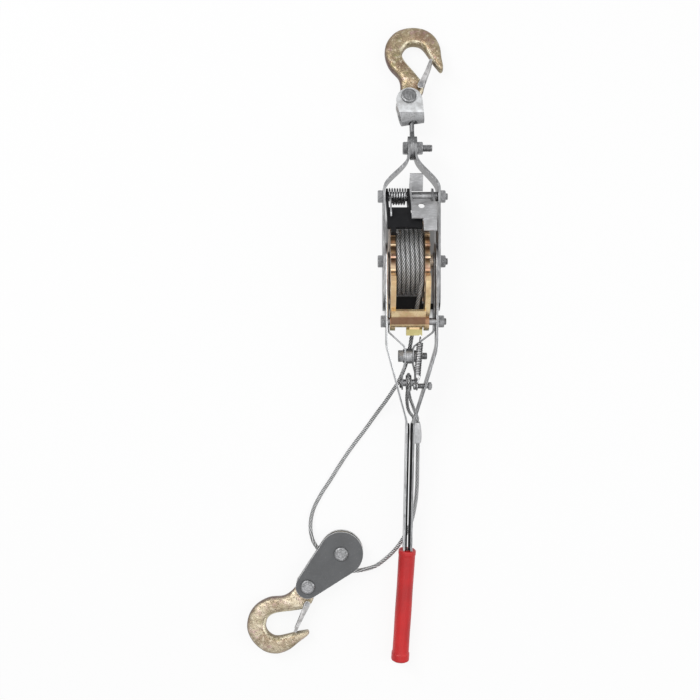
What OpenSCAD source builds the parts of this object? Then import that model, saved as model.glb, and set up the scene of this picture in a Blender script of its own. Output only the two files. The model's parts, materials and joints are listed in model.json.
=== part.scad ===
// Come along winch: a lever-operated ratchet cable puller with a swivel hook,
// a pulley block and a wire rope, lying on a flat surface (z = 0).
// +X across the winch head, +Y towards the swivel hook, +Z up. The origin is
// on the surface, straight below the drum axle.

/* [Drum and ratchet] */
// Radius of the ratchet wheels over the tooth tips
wheel_r = 45; // [43:0.5:46]
// Depth of the ratchet teeth
tooth_depth = 6.5; // [5:0.5:7]
// Teeth on each ratchet wheel
teeth = 20; // [20:20:20]
// Thickness of each ratchet wheel
wheel_t = 5.6; // [4:0.2:6]
// Width that plates, straps, links, wheels and pawls take beside the drum
drum_room = 31.6; // [31.2:0.1:31.6]
// Offset of the drum's middle from the frame's middle
drum_x = -2.7; // [-3:0.1:-1]
// Radius of the bare drum tube
drum_tube_r = 14; // [12:1:18]

/* [Rope] */
// Diameter of the wire rope
rope_d = 4.6; // [4:0.1:4.8]
// Radius of the wound drum over the outer layer of rope
wound_r = 38; // [36:0.5:38]
// Least gap between neighbouring turns on the drum
turn_gap = 0.42; // [0.42:0.02:0.6]

/* [Frame] */
// Width of the frame over its two side plates
frame_w = 63; // [62:0.5:66]
// Thickness of the side plates
plate_t = 2.6; // [2:0.1:3]
// Depth of the side plates
plate_depth = 40; // [34:1:42]
// Distance from the drum axle to the plates' lower end
frame_tail = 55; // [50:1:56]
// Distance from the drum axle to the upper cross bolt
upper_bolt_y = 72; // [70:1:76]
// Distance from the drum axle to the swivel eye's bolt
top_bolt_y = 125.6; // [120:0.2:135]
// Sideways place of the swivel eye's bolt
tip_x = 1.3; // [-2:0.1:3]
// Thickness of the tail links
link_t = 1.6; // [1.2:0.1:1.8]
// Distance from the drum axle to the tail bolt
tail_bolt_y = 105; // [103:1:110]
// Distance from the drum axle to the rope's dead end pin
dead_end_y = 135; // [133:1:140]

/* [Bolts] */
// Diameter of the bolt shanks
bolt_d = 8; // [7:0.1:8]
// Hexagon width over the corners
hex_d = 15; // [14:0.5:15]
// Height of a bolt head
head_t = 5.3; // [4:0.1:6]
// Height of a nut
nut_t = 6.5; // [5:0.1:7]

/* [Handle] */
// Distance from the drum axle to the end of the grip
handle_len = 453; // [440:1:500]
// Length of the grip
grip_len = 129; // [110:1:135]
// Width of the grip
grip_w = 18.8; // [17:0.2:22]
// Depth of the grip
grip_depth = 23; // [21:0.5:26]
// Thickness of the two handle straps
strap_t = 2.2; // [1.8:0.1:2.4]
// Gap between the two straps along the bar
bar_gap = 6; // [5:0.2:8]
// Depth of the straps along the bar
bar_depth = 16; // [14:0.5:18]

/* [Hooks] */
// Thickness of the forged hooks
hook_t = 16; // [14.5:0.5:17]
// Radius of the hook bowls
bowl_r = 13.3; // [13:0.1:14]
// Distance from a hook's pivot to the middle of its bowl
bowl_v = 56; // [55:0.5:57]
// Diameter of the hook pivots
pivot_d = 10; // [8:0.5:11]

/* [Pulley block] */
// Distance between the sheave's axle and the hook's rivet
block_len = 53; // [48:1:60]
// Thickness of the block's side plates
block_t = 3; // [2.5:0.1:3.5]
// Clear width between the block's side plates
block_gap = 12; // [11.5:0.1:13]
// Radius of the block's round end
block_r = 25; // [24.5:0.5:29]
// Radius of the rope's middle on the sheave
sheave_rope_r = 20.3; // [20:0.1:20.5]

/* [Hidden] */
$fn = 48;

// Clearances: between pieces that move past each other, a running fit, and a seat
slack = 0.3;
fit = 0.06;
seat = 0.15;
axle_z = wheel_r;
bolt_r = bolt_d / 2;
hex_r = hex_d / 2;
rope_r = rope_d / 2;

// Sideways stack, from the frame inwards
plate_in = frame_w / 2 - plate_t;
strap_out = plate_in - slack;
strap_in = strap_out - strap_t;
link_out = strap_in - slack;
link_in = link_out - link_t;
stack_in = link_in - slack;
drum_w = frame_w - drum_room;
wheel_left_x = drum_x - drum_w / 2 - wheel_t;
wheel_right_x = drum_x + drum_w / 2;
tooth_angle = 360 / teeth;
tip_land = 2.5;

// ---- Plane curves and swept shapes ----
function unit(v) = v / norm(v);
function turn2(p, a) = [p[0] * cos(a) - p[1] * sin(a), p[0] * sin(a) + p[1] * cos(a)];
function polar(r, a) = [r * cos(a), r * sin(a)];
function arc(c, r, a0, a1, n) = [for (i = [0 : n]) c + polar(r, a0 + (a1 - a0) * i / n)];
function lerp(a, b, t) = a + (b - a) * t;
function smooth(t) = t * t * (3 - 2 * t);

// A curve through four points, at t between the middle two
function through(a, b, c, d, t) =
    0.5 * (2 * b + (c - a) * t + (2 * a - 5 * b + 4 * c - d) * t * t
        + (3 * b - a - 3 * c + d) * t * t * t);
function open_curve(p, n) =
    concat([for (i = [0 : len(p) - 2], j = [0 : n - 1])
        through(p[max(i - 1, 0)], p[i], p[i + 1], p[min(i + 2, len(p) - 1)], j / n)],
        [p[len(p) - 1]]);

// Direction of an open path at its point i
function heading(p, i) = unit(p[min(i + 1, len(p) - 1)] - p[max(i - 1, 0)]);
// Both edges of a strip of sheet that follows a plane path
function strip(p, t) =
    let (side = [for (i = [0 : len(p) - 1]) turn2(heading(p, i), 90) * t / 2])
    concat([for (i = [0 : len(p) - 1]) p[i] + side[i]],
        [for (i = [len(p) - 1 : -1 : 0]) p[i] - side[i]]);

// A solid tube along a path; ref is a direction that the path never takes
module tube(path, r, sides, ref) {
    rings = len(path);
    points = [for (i = [0 : rings - 1], s = [0 : sides - 1])
        let (t = heading(path, i), a = unit(cross(ref, t)), b = cross(t, a), w = 360 * s / sides)
        path[i] + r * (cos(w) * a + sin(w) * b)];
    walls = [for (i = [0 : rings - 2], s = [0 : sides - 1], half = [0, 1])
        let (p = i * sides + s, q = i * sides + (s + 1) % sides)
        half == 0 ? [p, p + sides, q] : [q, p + sides, q + sides]];
    last = (rings - 1) * sides;
    ends = [for (s = [1 : sides - 2], end = [0, 1])
        end == 0 ? [0, s, s + 1] : [last, last + s + 1, last + s]];
    polyhedron(points, concat(walls, ends), convexity = 10);
}

// Turns of a coil about an axis through the middle c; a and b are square to the axis
function coil(c, axis, a, b, r, pitch, a0, a1, per_turn) =
    let (n = ceil(abs(a1 - a0) / 360 * per_turn))
    [for (i = [0 : n]) let (w = lerp(a0, a1, i / n))
        c + r * (cos(w) * a + sin(w) * b) + axis * pitch * (w - a0) / 360];

// Least distance between points of a coil that are at least half a turn apart, less its wire
function coil_gap(p, per_turn, d) =
    min([for (i = [0 : len(p) - 1]) let (far = i + floor(per_turn / 2))
        if (far < len(p)) min([for (j = [far : len(p) - 1]) norm(p[i] - p[j])])]) - d;

// ---- Placing ----
// A side outline (Y, height above the axle) as a sheet t thick from x along +X
module side_sheet(x, t) {
    translate([x, 0, axle_z]) rotate([90, 0, 90]) linear_extrude(t) children();
}
// A rod along X
module rod(x0, x1, y, z, r) {
    translate([x0, y, z]) rotate([0, 90, 0]) cylinder(h = x1 - x0, r = r);
}
module hex_along_x(x0, t, y, z) {
    translate([x0, y, z]) rotate([0, 90, 0]) cylinder(h = t, r = hex_r, $fn = 6);
}
// A hex bolt along X: its head ends at x0, its shank at x1
module bolt(x0, x1, y, z) {
    hex_along_x(x0 - head_t, head_t, y, z);
    rod(x0 - 1, x1, y, z, bolt_r);
}
module nut(x0, y, z) {
    difference() {
        hex_along_x(x0, nut_t, y, z);
        rod(x0 - 1, x0 + nut_t + 1, y, z, bolt_r + fit);
    }
}
// A link's outline: two round ends joined by their outer tangents
module link_outline(p, rp, q, rq) {
    d = norm(q - p);
    along = atan2(q[1] - p[1], q[0] - p[0]);
    lean = acos((rp - rq) / d);
    translate(p) circle(rp);
    translate(q) circle(rq);
    polygon([p + polar(rp, along + lean), p + polar(rp, along - lean),
        q + polar(rq, along - lean), q + polar(rq, along + lean)]);
}

// ---- Frame ----
tip_r = 13;
eye_t = 4.6;
tip_in = eye_t / 2 + seat;
shoulder_y = 79;
neck_y = 117;
neck_steps = 14;

// One side plate's middle line in plan; side is -1 for left and 1 for right
function plate_line(side) =
    let (x0 = side * (frame_w - plate_t) / 2, x1 = tip_x + side * (tip_in + plate_t / 2))
    concat([[x0, -frame_tail - 5]],
        [for (i = [0 : neck_steps]) [lerp(x0, x1, smooth(i / neck_steps)),
            lerp(shoulder_y, neck_y, i / neck_steps)]],
        [[x1, top_bolt_y + tip_r + 5]]);

module plate_side_outline() {
    tail_y = -frame_tail + plate_depth / 2;
    difference() {
        union() {
            translate([tail_y, 0]) circle(plate_depth / 2);
            polygon([[tail_y, -plate_depth / 2], [shoulder_y, -plate_depth / 2],
                [top_bolt_y, -tip_r], [top_bolt_y, tip_r],
                [shoulder_y, plate_depth / 2], [tail_y, plate_depth / 2]]);
            translate([top_bolt_y, 0]) circle(tip_r);
        }
        for (y = [0, upper_bolt_y, top_bolt_y]) translate([y, 0]) circle(bolt_r + fit);
    }
}

module frame_plate(side) {
    intersection() {
        linear_extrude(axle_z + plate_depth) polygon(strip(plate_line(side), plate_t));
        side_sheet(-frame_w / 2, frame_w) plate_side_outline();
    }
}

// Tail links: straight beside the wheels, then drawn in to the tail bolt, then flared
tail_x = -2.2;
sleeve_w = 6.8;
link_depth = 16;
dead_end_z = 35;
flare_x = 7.2;
tail_in = sleeve_w / 2 + slack;
function link_line(side) =
    let (x0 = side * (link_in + link_out) / 2, x1 = tail_x + side * (tail_in + link_t / 2),
        x2 = tail_x + side * flare_x)
    [[x0, 12], [x0, -76], [lerp(x0, x1, 0.06), -79], [lerp(x0, x1, 0.94), -94], [x1, -97],
        [x1, -114], [lerp(x1, x2, 0.5), -119], [x2, -124], [x2, -dead_end_y - 12]];

module link_side_outline() {
    drop = dead_end_z - axle_z;
    difference() {
        union() {
            link_outline([0, 0], 11, [-tail_bolt_y, 0], link_depth / 2);
            link_outline([-tail_bolt_y, 0], link_depth / 2, [-dead_end_y, drop], link_depth / 2);
        }
        circle(bolt_r + fit);
        translate([-tail_bolt_y, 0]) circle(bolt_r + fit);
        translate([-dead_end_y, drop]) circle(bolt_r + fit);
    }
}

module tail_link(side) {
    intersection() {
        linear_extrude(axle_z + plate_depth) polygon(strip(link_line(side), link_t));
        side_sheet(-frame_w / 2, frame_w) link_side_outline();
    }
}

module frame_plate_left() { color("gainsboro") frame_plate(-1); }
module frame_plate_right() { color("gainsboro") frame_plate(1); }
module tail_link_left() { color("silver") tail_link(-1); }
module tail_link_right() { color("silver") tail_link(1); }

plate_face = frame_w / 2 + seat;
thread_end = 2.5;
module upper_cross_bolt() {
    color("gainsboro") bolt(-plate_face, plate_face + nut_t + thread_end, upper_bolt_y, axle_z);
}
module upper_bolt_nut() { color("silver") nut(plate_face, upper_bolt_y, axle_z); }
module axle_bolt() {
    color("gainsboro") bolt(-plate_face, plate_face + nut_t + thread_end, 0, axle_z);
}
module axle_nut() { color("silver") nut(plate_face, 0, axle_z); }

tip_face = tip_in + plate_t + seat;
top_thread = 10.5;
module top_bolt() {
    color("silver")
    bolt(tip_x - tip_face, tip_x + tip_face + nut_t + top_thread, top_bolt_y, axle_z);
}
module top_bolt_nut() { color("silver") nut(tip_x + tip_face, top_bolt_y, axle_z); }

tail_face = tail_in + link_t + seat;
washer_t = 1.4;
washer_r = 7.6;
tail_thread = 8;
module tail_bolt() {
    color("silver") {
        bolt(tail_x - tail_face - washer_t, tail_x + tail_face + nut_t + tail_thread,
            -tail_bolt_y, axle_z);
        rod(tail_x - tail_face - washer_t, tail_x - tail_face, -tail_bolt_y, axle_z, washer_r);
    }
}
module tail_nut() { color("silver") nut(tail_x + tail_face, -tail_bolt_y, axle_z); }
sleeve_r = 8.5;
module tail_sleeve() {
    color("gray") difference() {
        rod(tail_x - sleeve_w / 2, tail_x + sleeve_w / 2, -tail_bolt_y, axle_z, sleeve_r);
        rod(tail_x - sleeve_w, tail_x + sleeve_w, -tail_bolt_y, axle_z, bolt_r + fit);
    }
}
// Guard between the tail links: its tongue keeps the rope between the ratchet wheels
guard_t = 2;
guard_z = 42;
guard_y = -wheel_r - 1.6;
guard_depth = 6.6;
module rope_guard() {
    tongue_left = wheel_left_x + wheel_t + 0.5;
    tongue_right = wheel_right_x - 0.5;
    color("#1c1c1c") translate([0, 0, guard_z]) linear_extrude(guard_t) {
        translate([-link_in + 0.03, guard_y - guard_depth]) square([2 * link_in - 0.06, guard_depth]);
        translate([tongue_left, guard_y - 1]) square([tongue_right - tongue_left, 1 - guard_y - wound_r - 0.8]);
    }
}
dead_end_face = flare_x + link_t / 2 + seat;
module dead_end_pin() {
    color("silver") {
        rod(tail_x - dead_end_face - 2, tail_x + dead_end_face + 2, -dead_end_y, dead_end_z, bolt_r);
        rod(tail_x - dead_end_face - 2, tail_x - dead_end_face, -dead_end_y, dead_end_z, 6);
        rod(tail_x + dead_end_face, tail_x + dead_end_face + 2, -dead_end_y, dead_end_z, 6);
    }
}

// Spacer tube, and the torsion spring around its left half
tube_r = 5.2;
module upper_spacer_tube() {
    color("silver") difference() {
        rod(-plate_in + seat, plate_in - seat, upper_bolt_y, axle_z, tube_r);
        rod(-frame_w, frame_w, upper_bolt_y, axle_z, bolt_r + fit);
    }
}
spring_wire_r = 1;
torsion_r = 8.6;
torsion_turns = 6.25;
torsion_x0 = 4.5 - plate_in;
torsion_x1 = drum_x - 3.6;
torsion_pitch = (torsion_x1 - torsion_x0) / torsion_turns;
spring_ring = 8;
torsion_coil = coil([torsion_x0, upper_bolt_y, axle_z], [1, 0, 0], [0, -1, 0], [0, 0, 1],
    torsion_r, torsion_pitch, 90, 90 + 360 * torsion_turns, spring_ring);
echo(stop_pawl_spring_gap = coil_gap(torsion_coil, spring_ring, 2 * spring_wire_r));

// ---- Drum ----
bush_r = 8;
module wheel_outline() {
    root_r = wheel_r - tooth_depth;
    polygon([for (i = [0 : teeth - 1]) let (a = 90 + i * tooth_angle)
        each [polar(root_r, a), polar(wheel_r, a + tooth_angle - tip_land),
            polar(wheel_r, a + tooth_angle)]]);
}
module ratchet_wheel(x) {
    difference() {
        side_sheet(x, wheel_t) wheel_outline();
        rod(x - 1, x + wheel_t + 1, 0, axle_z, bush_r + fit);
    }
}
module ratchet_wheel_left() { color("goldenrod") ratchet_wheel(wheel_left_x); }
module ratchet_wheel_right() { color("goldenrod") ratchet_wheel(wheel_right_x); }
module drum_bush() {
    color("darkgoldenrod") difference() {
        rod(-stack_in, stack_in, 0, axle_z, bush_r);
        rod(-frame_w, frame_w, 0, axle_z, bolt_r + fit);
    }
}
drum_left = drum_x - drum_w / 2 + 0.05;
drum_right = drum_x + drum_w / 2 - 0.05;
module drum_tube() {
    color("dimgray") difference() {
        rod(drum_left, drum_right, 0, axle_z, drum_tube_r);
        rod(-frame_w, frame_w, 0, axle_z, bush_r + fit);
    }
}
under_r = wound_r - rope_d - 2 * slack;
module rope_under_layers() {
    color("gray") difference() {
        rod(drum_left + seat, drum_right - seat, 0, axle_z, under_r);
        rod(-frame_w, frame_w, 0, axle_z, drum_tube_r + fit);
    }
}

// The outer layer of turns: angles are measured from +Y towards +Z, and the rope
// leaves at leave_a towards the tail, straight for one diameter
lay_r = wound_r - rope_r;
run_d = tail_bolt_y;
under_sleeve_r = sleeve_r + rope_r + slack;
leave_tilt = asin((lay_r + under_sleeve_r) / run_d);
leave_a = 90 + leave_tilt;
lay_room = drum_w - rope_d - 2 * slack;
turns = floor(lay_room / (rope_d + turn_gap) - 0.2) + 0.2;
turn_pitch = lay_room / turns;
lay_x1 = drum_x + drum_w / 2 - rope_r - slack;
lay_ring = 24;
lay_path = coil([lay_x1 - turn_pitch * turns, 0, axle_z], [1, 0, 0], [0, 1, 0], [0, 0, 1],
    lay_r, turn_pitch, leave_a - 360 * turns, leave_a, lay_ring);
leave_dir = [0, -cos(leave_tilt), -sin(leave_tilt)];
lay_end = lay_path[len(lay_path) - 1];
first_dir = unit(lay_path[0] - lay_path[1]);
rope_start = lay_end + leave_dir * rope_d;
winding_path = concat([lay_path[0] + first_dir * rope_d], lay_path, [rope_start]);
echo(rope_winding_gap = coil_gap(lay_path, lay_ring, rope_d));
module rope_winding() {
    color("darkgray") tube(winding_path, rope_r, 6, [1, 0, 0]);
}

// ---- Handle: drawn level about the axle, then lowered until the grip rests ----
handle_rise = 8;
grip_flare = 0.8;
rest_depth = grip_depth / 2 + grip_flare - handle_rise;
droop = asin(axle_z / norm([handle_len, rest_depth])) - atan2(rest_depth, handle_len);
// A point given in the winch's own frame (Y, height above the axle) in the handle's
function in_handle(p) = turn2(p, -droop);
pawl_at = [-67, 15];
anchor_at = [-138, 9];
hub_r = 21;
grip_y0 = grip_len - handle_len;
bar_lean = [[-0.5, -176], [-3, 130 - handle_len], [-10.8, -handle_len]];
converge_y = -97;

function strap_line(side) =
    let (x0 = side * (strap_in + strap_out) / 2, off = side * (bar_gap + strap_t) / 2)
    concat([[x0, hub_r + 5], [x0, converge_y + 6], [lerp(x0, bar_lean[0][0] + off, 0.04), converge_y]],
        [[bar_lean[0][0] + off + side * 1.2, bar_lean[0][1] + 3],
            [bar_lean[0][0] + off, bar_lean[0][1] - 3]],
        [[bar_lean[1][0] + off, bar_lean[1][1]], [bar_lean[2][0] + off, bar_lean[2][1]]]);

module in_handle_frame() {
    translate([0, 0, axle_z]) rotate([droop, 0, 0]) translate([0, 0, -axle_z]) children();
}
anchor_r = 3;
strap_end = 7;
bar_low = handle_rise - bar_depth / 2;
bar_high = bar_low + bar_depth;
strap_top = [[-24, 24.9], [-66, 31.8], [-110, 32], [-140, 28], [-182, bar_high]];
strap_bottom = [[-182, bar_low], [-140, 3], [-110, 6], [-66, 2], [-30, -11.5]];
module strap_side_outline(side) {
    difference() {
        polygon(concat(arc([0, 0], hub_r, -110, 80, 16), open_curve(strap_top, 3),
            [[-handle_len + strap_end, bar_high], [-handle_len + strap_end, bar_low]],
            open_curve(strap_bottom, 3)));
        circle(bolt_r + fit);
        translate(in_handle(pawl_at)) circle(bolt_r + fit);
        if (side > 0) translate(in_handle(anchor_at)) circle(anchor_r + fit);
    }
}
module handle_strap(side) {
    in_handle_frame() intersection() {
        linear_extrude(axle_z + 60) polygon(strip(strap_line(side), strap_t));
        side_sheet(-frame_w / 2, frame_w) strap_side_outline(side);
    }
}
module handle_strap_left() { color("gainsboro") handle_strap(-1); }
module handle_strap_right() { color("gainsboro") handle_strap(1); }

// The grip and the flat bar inside it follow the lean of the bar's end
grip_lean = atan2(bar_lean[1][0] - bar_lean[2][0], bar_lean[1][1] - bar_lean[2][1]);
module along_grip(y) {
    x = lerp(bar_lean[1][0], bar_lean[2][0], (bar_lean[1][1] - y) / (bar_lean[1][1] - bar_lean[2][1]));
    in_handle_frame() translate([x, y, axle_z + handle_rise]) rotate([90, 0, -grip_lean]) children();
}
module grip_section(grow) {
    r = grip_w / 2 + grow;
    for (s = [-1, 1]) translate([0, s * (grip_depth - grip_w) / 2]) circle(r);
    square([2 * r, grip_depth - grip_w], center = true);
}
rim_len = 6;
end_len = 5;
strap_slot = bar_gap + 2 * strap_t + 2 * slack;
module grip() {
    color("firebrick") difference() {
        union() {
            along_grip(grip_y0) linear_extrude(grip_len) grip_section(0);
            along_grip(grip_y0) linear_extrude(rim_len) grip_section(grip_flare * 0.6);
            along_grip(-handle_len + end_len) linear_extrude(end_len) grip_section(grip_flare);
        }
        along_grip(grip_y0 + 1) linear_extrude(grip_len - 4)
            square([strap_slot, bar_depth + 2 * slack], center = true);
    }
}
module handle_core() {
    color("dimgray") along_grip(grip_y0 - 2) linear_extrude(grip_len - 8)
        square([bar_gap - 2 * seat, bar_depth - 2], center = true);
}

pawl_face = strap_out + seat;
module pawl_bolt() {
    color("silver")
    bolt(-pawl_face, pawl_face + nut_t + thread_end, pawl_at[0], axle_z + pawl_at[1]);
}
module pawl_nut() { color("silver") nut(pawl_face, pawl_at[0], axle_z + pawl_at[1]); }

// Spring anchor bolt, through the right strap, its round head inside the handle
strap_mid = (strap_in + strap_out) / 2;
anchor_x0 = 3.4;
anchor_x1 = strap_mid * 0.86 - 0.93;
anchor_z = axle_z + anchor_at[1];
module spring_anchor_bolt() {
    color("silver") {
        rod(anchor_x0, anchor_x1, anchor_at[0], anchor_z, anchor_r);
        rod(anchor_x0 - 1.6, anchor_x0, anchor_at[0], anchor_z, anchor_r + 1);
    }
}
module spring_anchor_nut() {
    color("silver") translate([anchor_x1 - 4.2, anchor_at[0], anchor_z]) rotate([0, 90, 0])
        difference() {
            cylinder(h = 3.4, r = 5, $fn = 6);
            translate([0, 0, -1]) cylinder(h = 6, r = anchor_r + fit);
        }
}

// Extension spring: hook on the pawl's tail, close coil, hook on the anchor bolt
drive_wire_r = 0.65;
drive_r = 3.1;
drive_top = [9.3, -88, axle_z + 13];
drive_low = [6.2, -130, axle_z + 9.6];
drive_axis = unit(drive_low - drive_top);
drive_a = unit(cross([0, 0, 1], drive_axis));
drive_b = cross(drive_axis, drive_a);
drive_pitch = 1.85;
drive_turns = floor((norm(drive_low - drive_top) - 6) / drive_pitch);
drive_coil = coil(drive_top + drive_axis * 3, drive_axis, drive_a, drive_b, drive_r, drive_pitch,
    0, 360 * drive_turns, spring_ring);
echo(drive_spring_gap = coil_gap(drive_coil, spring_ring, 2 * drive_wire_r));
// A round end hook whose plane holds the spring's axis
function end_hook(c, dir, side, r, n) =
    [for (i = [0 : n]) let (w = lerp(150, -120, i / n)) c + r * (cos(w) * dir + sin(w) * side)];
module drive_spring() {
    upper = end_hook(drive_top - drive_axis * 0.5, -drive_axis, drive_b, 3.4, 10);
    lower = end_hook([drive_low[0], anchor_at[0], anchor_z], drive_axis, drive_b, 4.4, 10);
    hooks = concat([for (i = [len(upper) - 1 : -1 : 0]) upper[i]], drive_coil, lower);
    color("silver") tube(hooks, drive_wire_r, 6, unit(drive_a + 0.35 * drive_b + 0.2 * drive_axis));
}

// ---- Driving pawl: outlines are drawn with the nose home between two teeth ----
pawl_lift = 6;
nose_gap = 0.6;
arm_t = wheel_t;
drive_tooth = 90 + tooth_angle;
module driving_outline() {
    clear_r = wheel_r + 0.9;
    difference() {
        union() {
            polygon(concat([polar(wheel_r - 5.4, drive_tooth + nose_gap),
                polar(wheel_r - 2.9, drive_tooth + 7)],
                arc([0, 0], clear_r, drive_tooth + 16, drive_tooth + 42, 8),
                [[-56, 9], pawl_at, [-58, 32], [-48, 40], [-34, 48], [-21, 51.5]],
                [polar(50.5, drive_tooth + nose_gap - 0.5)]));
            translate(pawl_at) circle(10);
        }
        translate(pawl_at) circle(bolt_r + fit);
    }
}
module lifted(at, angle) {
    translate([0, at[0], axle_z + at[1]]) rotate([angle, 0, 0])
        translate([0, -at[0], -axle_z - at[1]]) children();
}
tab_x0 = -6;
tab_x1 = 11.6;
web_line = [[-53, 38.5], [-58, 34.5], [-64, 29], [-69.5, 25], [-71.5, 22]];
tail_tab = [[-71, 12.5], [-74, 9.5], [-82.5, 9.5], [-82.5, 15.5], [-70, 15.5]];
module driving_pawl() {
    web_t = 3.2;
    color("goldenrod") lifted(pawl_at, pawl_lift) difference() {
        union() {
            side_sheet(wheel_left_x, arm_t) driving_outline();
            side_sheet(wheel_right_x + wheel_t - arm_t, arm_t) driving_outline();
            side_sheet(wheel_left_x + 1, wheel_right_x - wheel_left_x)
                polygon(strip(web_line, web_t));
            side_sheet(tab_x0, tab_x1 - tab_x0) polygon(tail_tab);
            for (x = [tab_x0, tab_x1 - web_t])
                side_sheet(x, web_t) polygon([[-64, 27], [-72, 24], [-76, 15], [-76, 10.5], [-71, 12.5]]);
        }
        rod(-frame_w, frame_w, pawl_at[0], axle_z + pawl_at[1], bolt_r + fit);
        translate([drive_top[0], drive_top[1] + 5.4, 0]) cylinder(h = 200, r = 1.1);
    }
}

// ---- Stop pawl and its release lever, on the upper spacer tube ----
stop_at = [upper_bolt_y, 0];
stop_lift = 6;
stop_tooth = 90 - 2 * tooth_angle;
ear_t = 2.2;
pawl_left = 1 - plate_in;
pawl_mid = drum_x + slack;
nose_right = wheel_right_x - 3;
lobe_r = 8;
module stop_outline() {
    link_outline(stop_at, 9, [44, 35], 7.5);
    polygon([polar(wheel_r - 5.3, stop_tooth + nose_gap), polar(wheel_r + 0.9, stop_tooth + 0.3),
        polar(wheel_r + 1.2, stop_tooth - 8), [44, 30], [50, 40], [40, 44.5], [28, 47],
        polar(wheel_r + 5, stop_tooth + 9), polar(wheel_r - 3.1, stop_tooth + 6.6)]);
}
module cut_to(y0, y1) {
    intersection() {
        children();
        translate([y0, -100]) square([y1 - y0, 300]);
    }
}
module stop_pawl() {
    color("#2b2b2b") lifted(stop_at, -stop_lift) difference() {
        union() {
            for (x = [pawl_left, pawl_mid - ear_t]) side_sheet(x, ear_t) cut_to(27.5, 100) stop_outline();
            side_sheet(pawl_left + 0.1, pawl_mid - pawl_left - 0.2) cut_to(27.5, 51) stop_outline();
            side_sheet(wheel_left_x, wheel_t) cut_to(0, 43.5) stop_outline();
            intersection() {
                side_sheet(wheel_left_x, nose_right - wheel_left_x) cut_to(27.5, 50) stop_outline();
                linear_extrude(2 * wheel_r + 60) polygon(concat([[wheel_left_x, 20], [nose_right - 1, 20]],
                    arc([nose_right - lobe_r, 44 - lobe_r], lobe_r, 0, 90, 6), [[wheel_left_x, 44]]));
            }
        }
        rod(-frame_w, frame_w, upper_bolt_y, axle_z, tube_r + fit);
    }
}
lever_t = 2;
lever_left = pawl_mid + slack;
lever_right = plate_in - 4.3;
lever_wing = [[22, 54.6], [33, 51.8], [40, 49.4], [50, 45], [57, 36]];
lever_line = [[36, 50.8], [40, 49.4], [50, 45], [57, 36], [63, 22], [66, 10]];
tab_line = [[76, 9.5], [83, 14.5], [93, 20]];
module release_lever() {
    color("silver") lifted(stop_at, -stop_lift) difference() {
        union() {
            side_sheet(lever_left, ear_t) {
                link_outline(stop_at, 9, [62, 20], 5);
                link_outline([62, 20], 5, [52, 38], 4);
                link_outline(stop_at, 9, [86, 13], 4);
            }
            side_sheet(lever_right - ear_t, ear_t) {
                link_outline(stop_at, 9, [62, 20], 5);
                link_outline([62, 20], 5, [46, 43], 4);
            }
            side_sheet(lever_left, lever_right - 4.8 - lever_left) polygon(strip(lever_line, lever_t));
            side_sheet(nose_right + 0.4, lever_right - nose_right - 0.4) polygon(strip(lever_wing, lever_t));
            side_sheet(lever_left, nose_right + 2.4 - lever_left) polygon(strip(tab_line, lever_t));
        }
        rod(-frame_w, frame_w, upper_bolt_y, axle_z, tube_r + fit);
        translate([nose_right - 1.2, 51.6, 0]) cylinder(h = 200, r = 3.4);
    }
}
module stop_pawl_spring() {
    last = torsion_coil[len(torsion_coil) - 1];
    arm_a = [[torsion_x0 + 0.6, 44.5, axle_z + 50.8], [torsion_x0 + 0.5, 50.4, axle_z + 50.6],
        [torsion_x0 + 0.3, 62.5, axle_z + 37], [torsion_x0, 71, axle_z + 12]];
    arm_b = [last + [0.2, 0.1, -5], last + [0.3, 0, -13]];
    color("silver") tube(concat(arm_a, torsion_coil, arm_b), spring_wire_r, 6, [1, 0, 0]);
}

// ---- Swivel chain, hinged at the top bolt and lowered until its hook rests ----
ball_r = 6.6;
hole_r = 5.4;
web_t2 = 3.6;
ball_lift = sqrt(pow(ball_r + slack, 2) - hole_r * hole_r);
yoke_in = -25;
ball_v = yoke_in + ball_lift;
eye_len = 37.8;
yoke_lean = 9.5;
hook_lean = -16.5;
chain_len = eye_len - ball_v * cos(yoke_lean);
hook_inset = 3.4;
crown_v = 90.4 - hook_inset;
chain_low = chain_len + crown_v * cos(yoke_lean + hook_lean);
chain_pitch = asin(axle_z / norm([chain_low, hook_t / 2])) - atan2(hook_t / 2, chain_low);
module in_chain() {
    translate([tip_x, top_bolt_y, axle_z]) rotate([-chain_pitch, 0, 0]) children();
}
module in_yoke() {
    in_chain() translate([0, eye_len, 0]) rotate([0, 0, yoke_lean]) translate([0, -ball_v, 0])
        children();
}
module in_top_hook() { in_yoke() rotate([0, 0, hook_lean]) children(); }

stem_r = 2.6;
module swivel_eye() {
    color("silver") in_chain() difference() {
        union() {
            translate([-eye_t / 2, 0, 0]) rotate([90, 0, 90]) linear_extrude(eye_t)
                link_outline([0, 0], tip_r, [15.5, 0], 4.5);
            translate([0, tip_r + 0.6, 0]) rotate([-90, 0, 0])
                cylinder(h = eye_len - tip_r - 0.6, r = stem_r);
            translate([0, eye_len, 0]) sphere(ball_r);
        }
        translate([-10, 0, 0]) rotate([0, 90, 0]) cylinder(h = 20, r = bolt_r + fit);
    }
}

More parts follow.
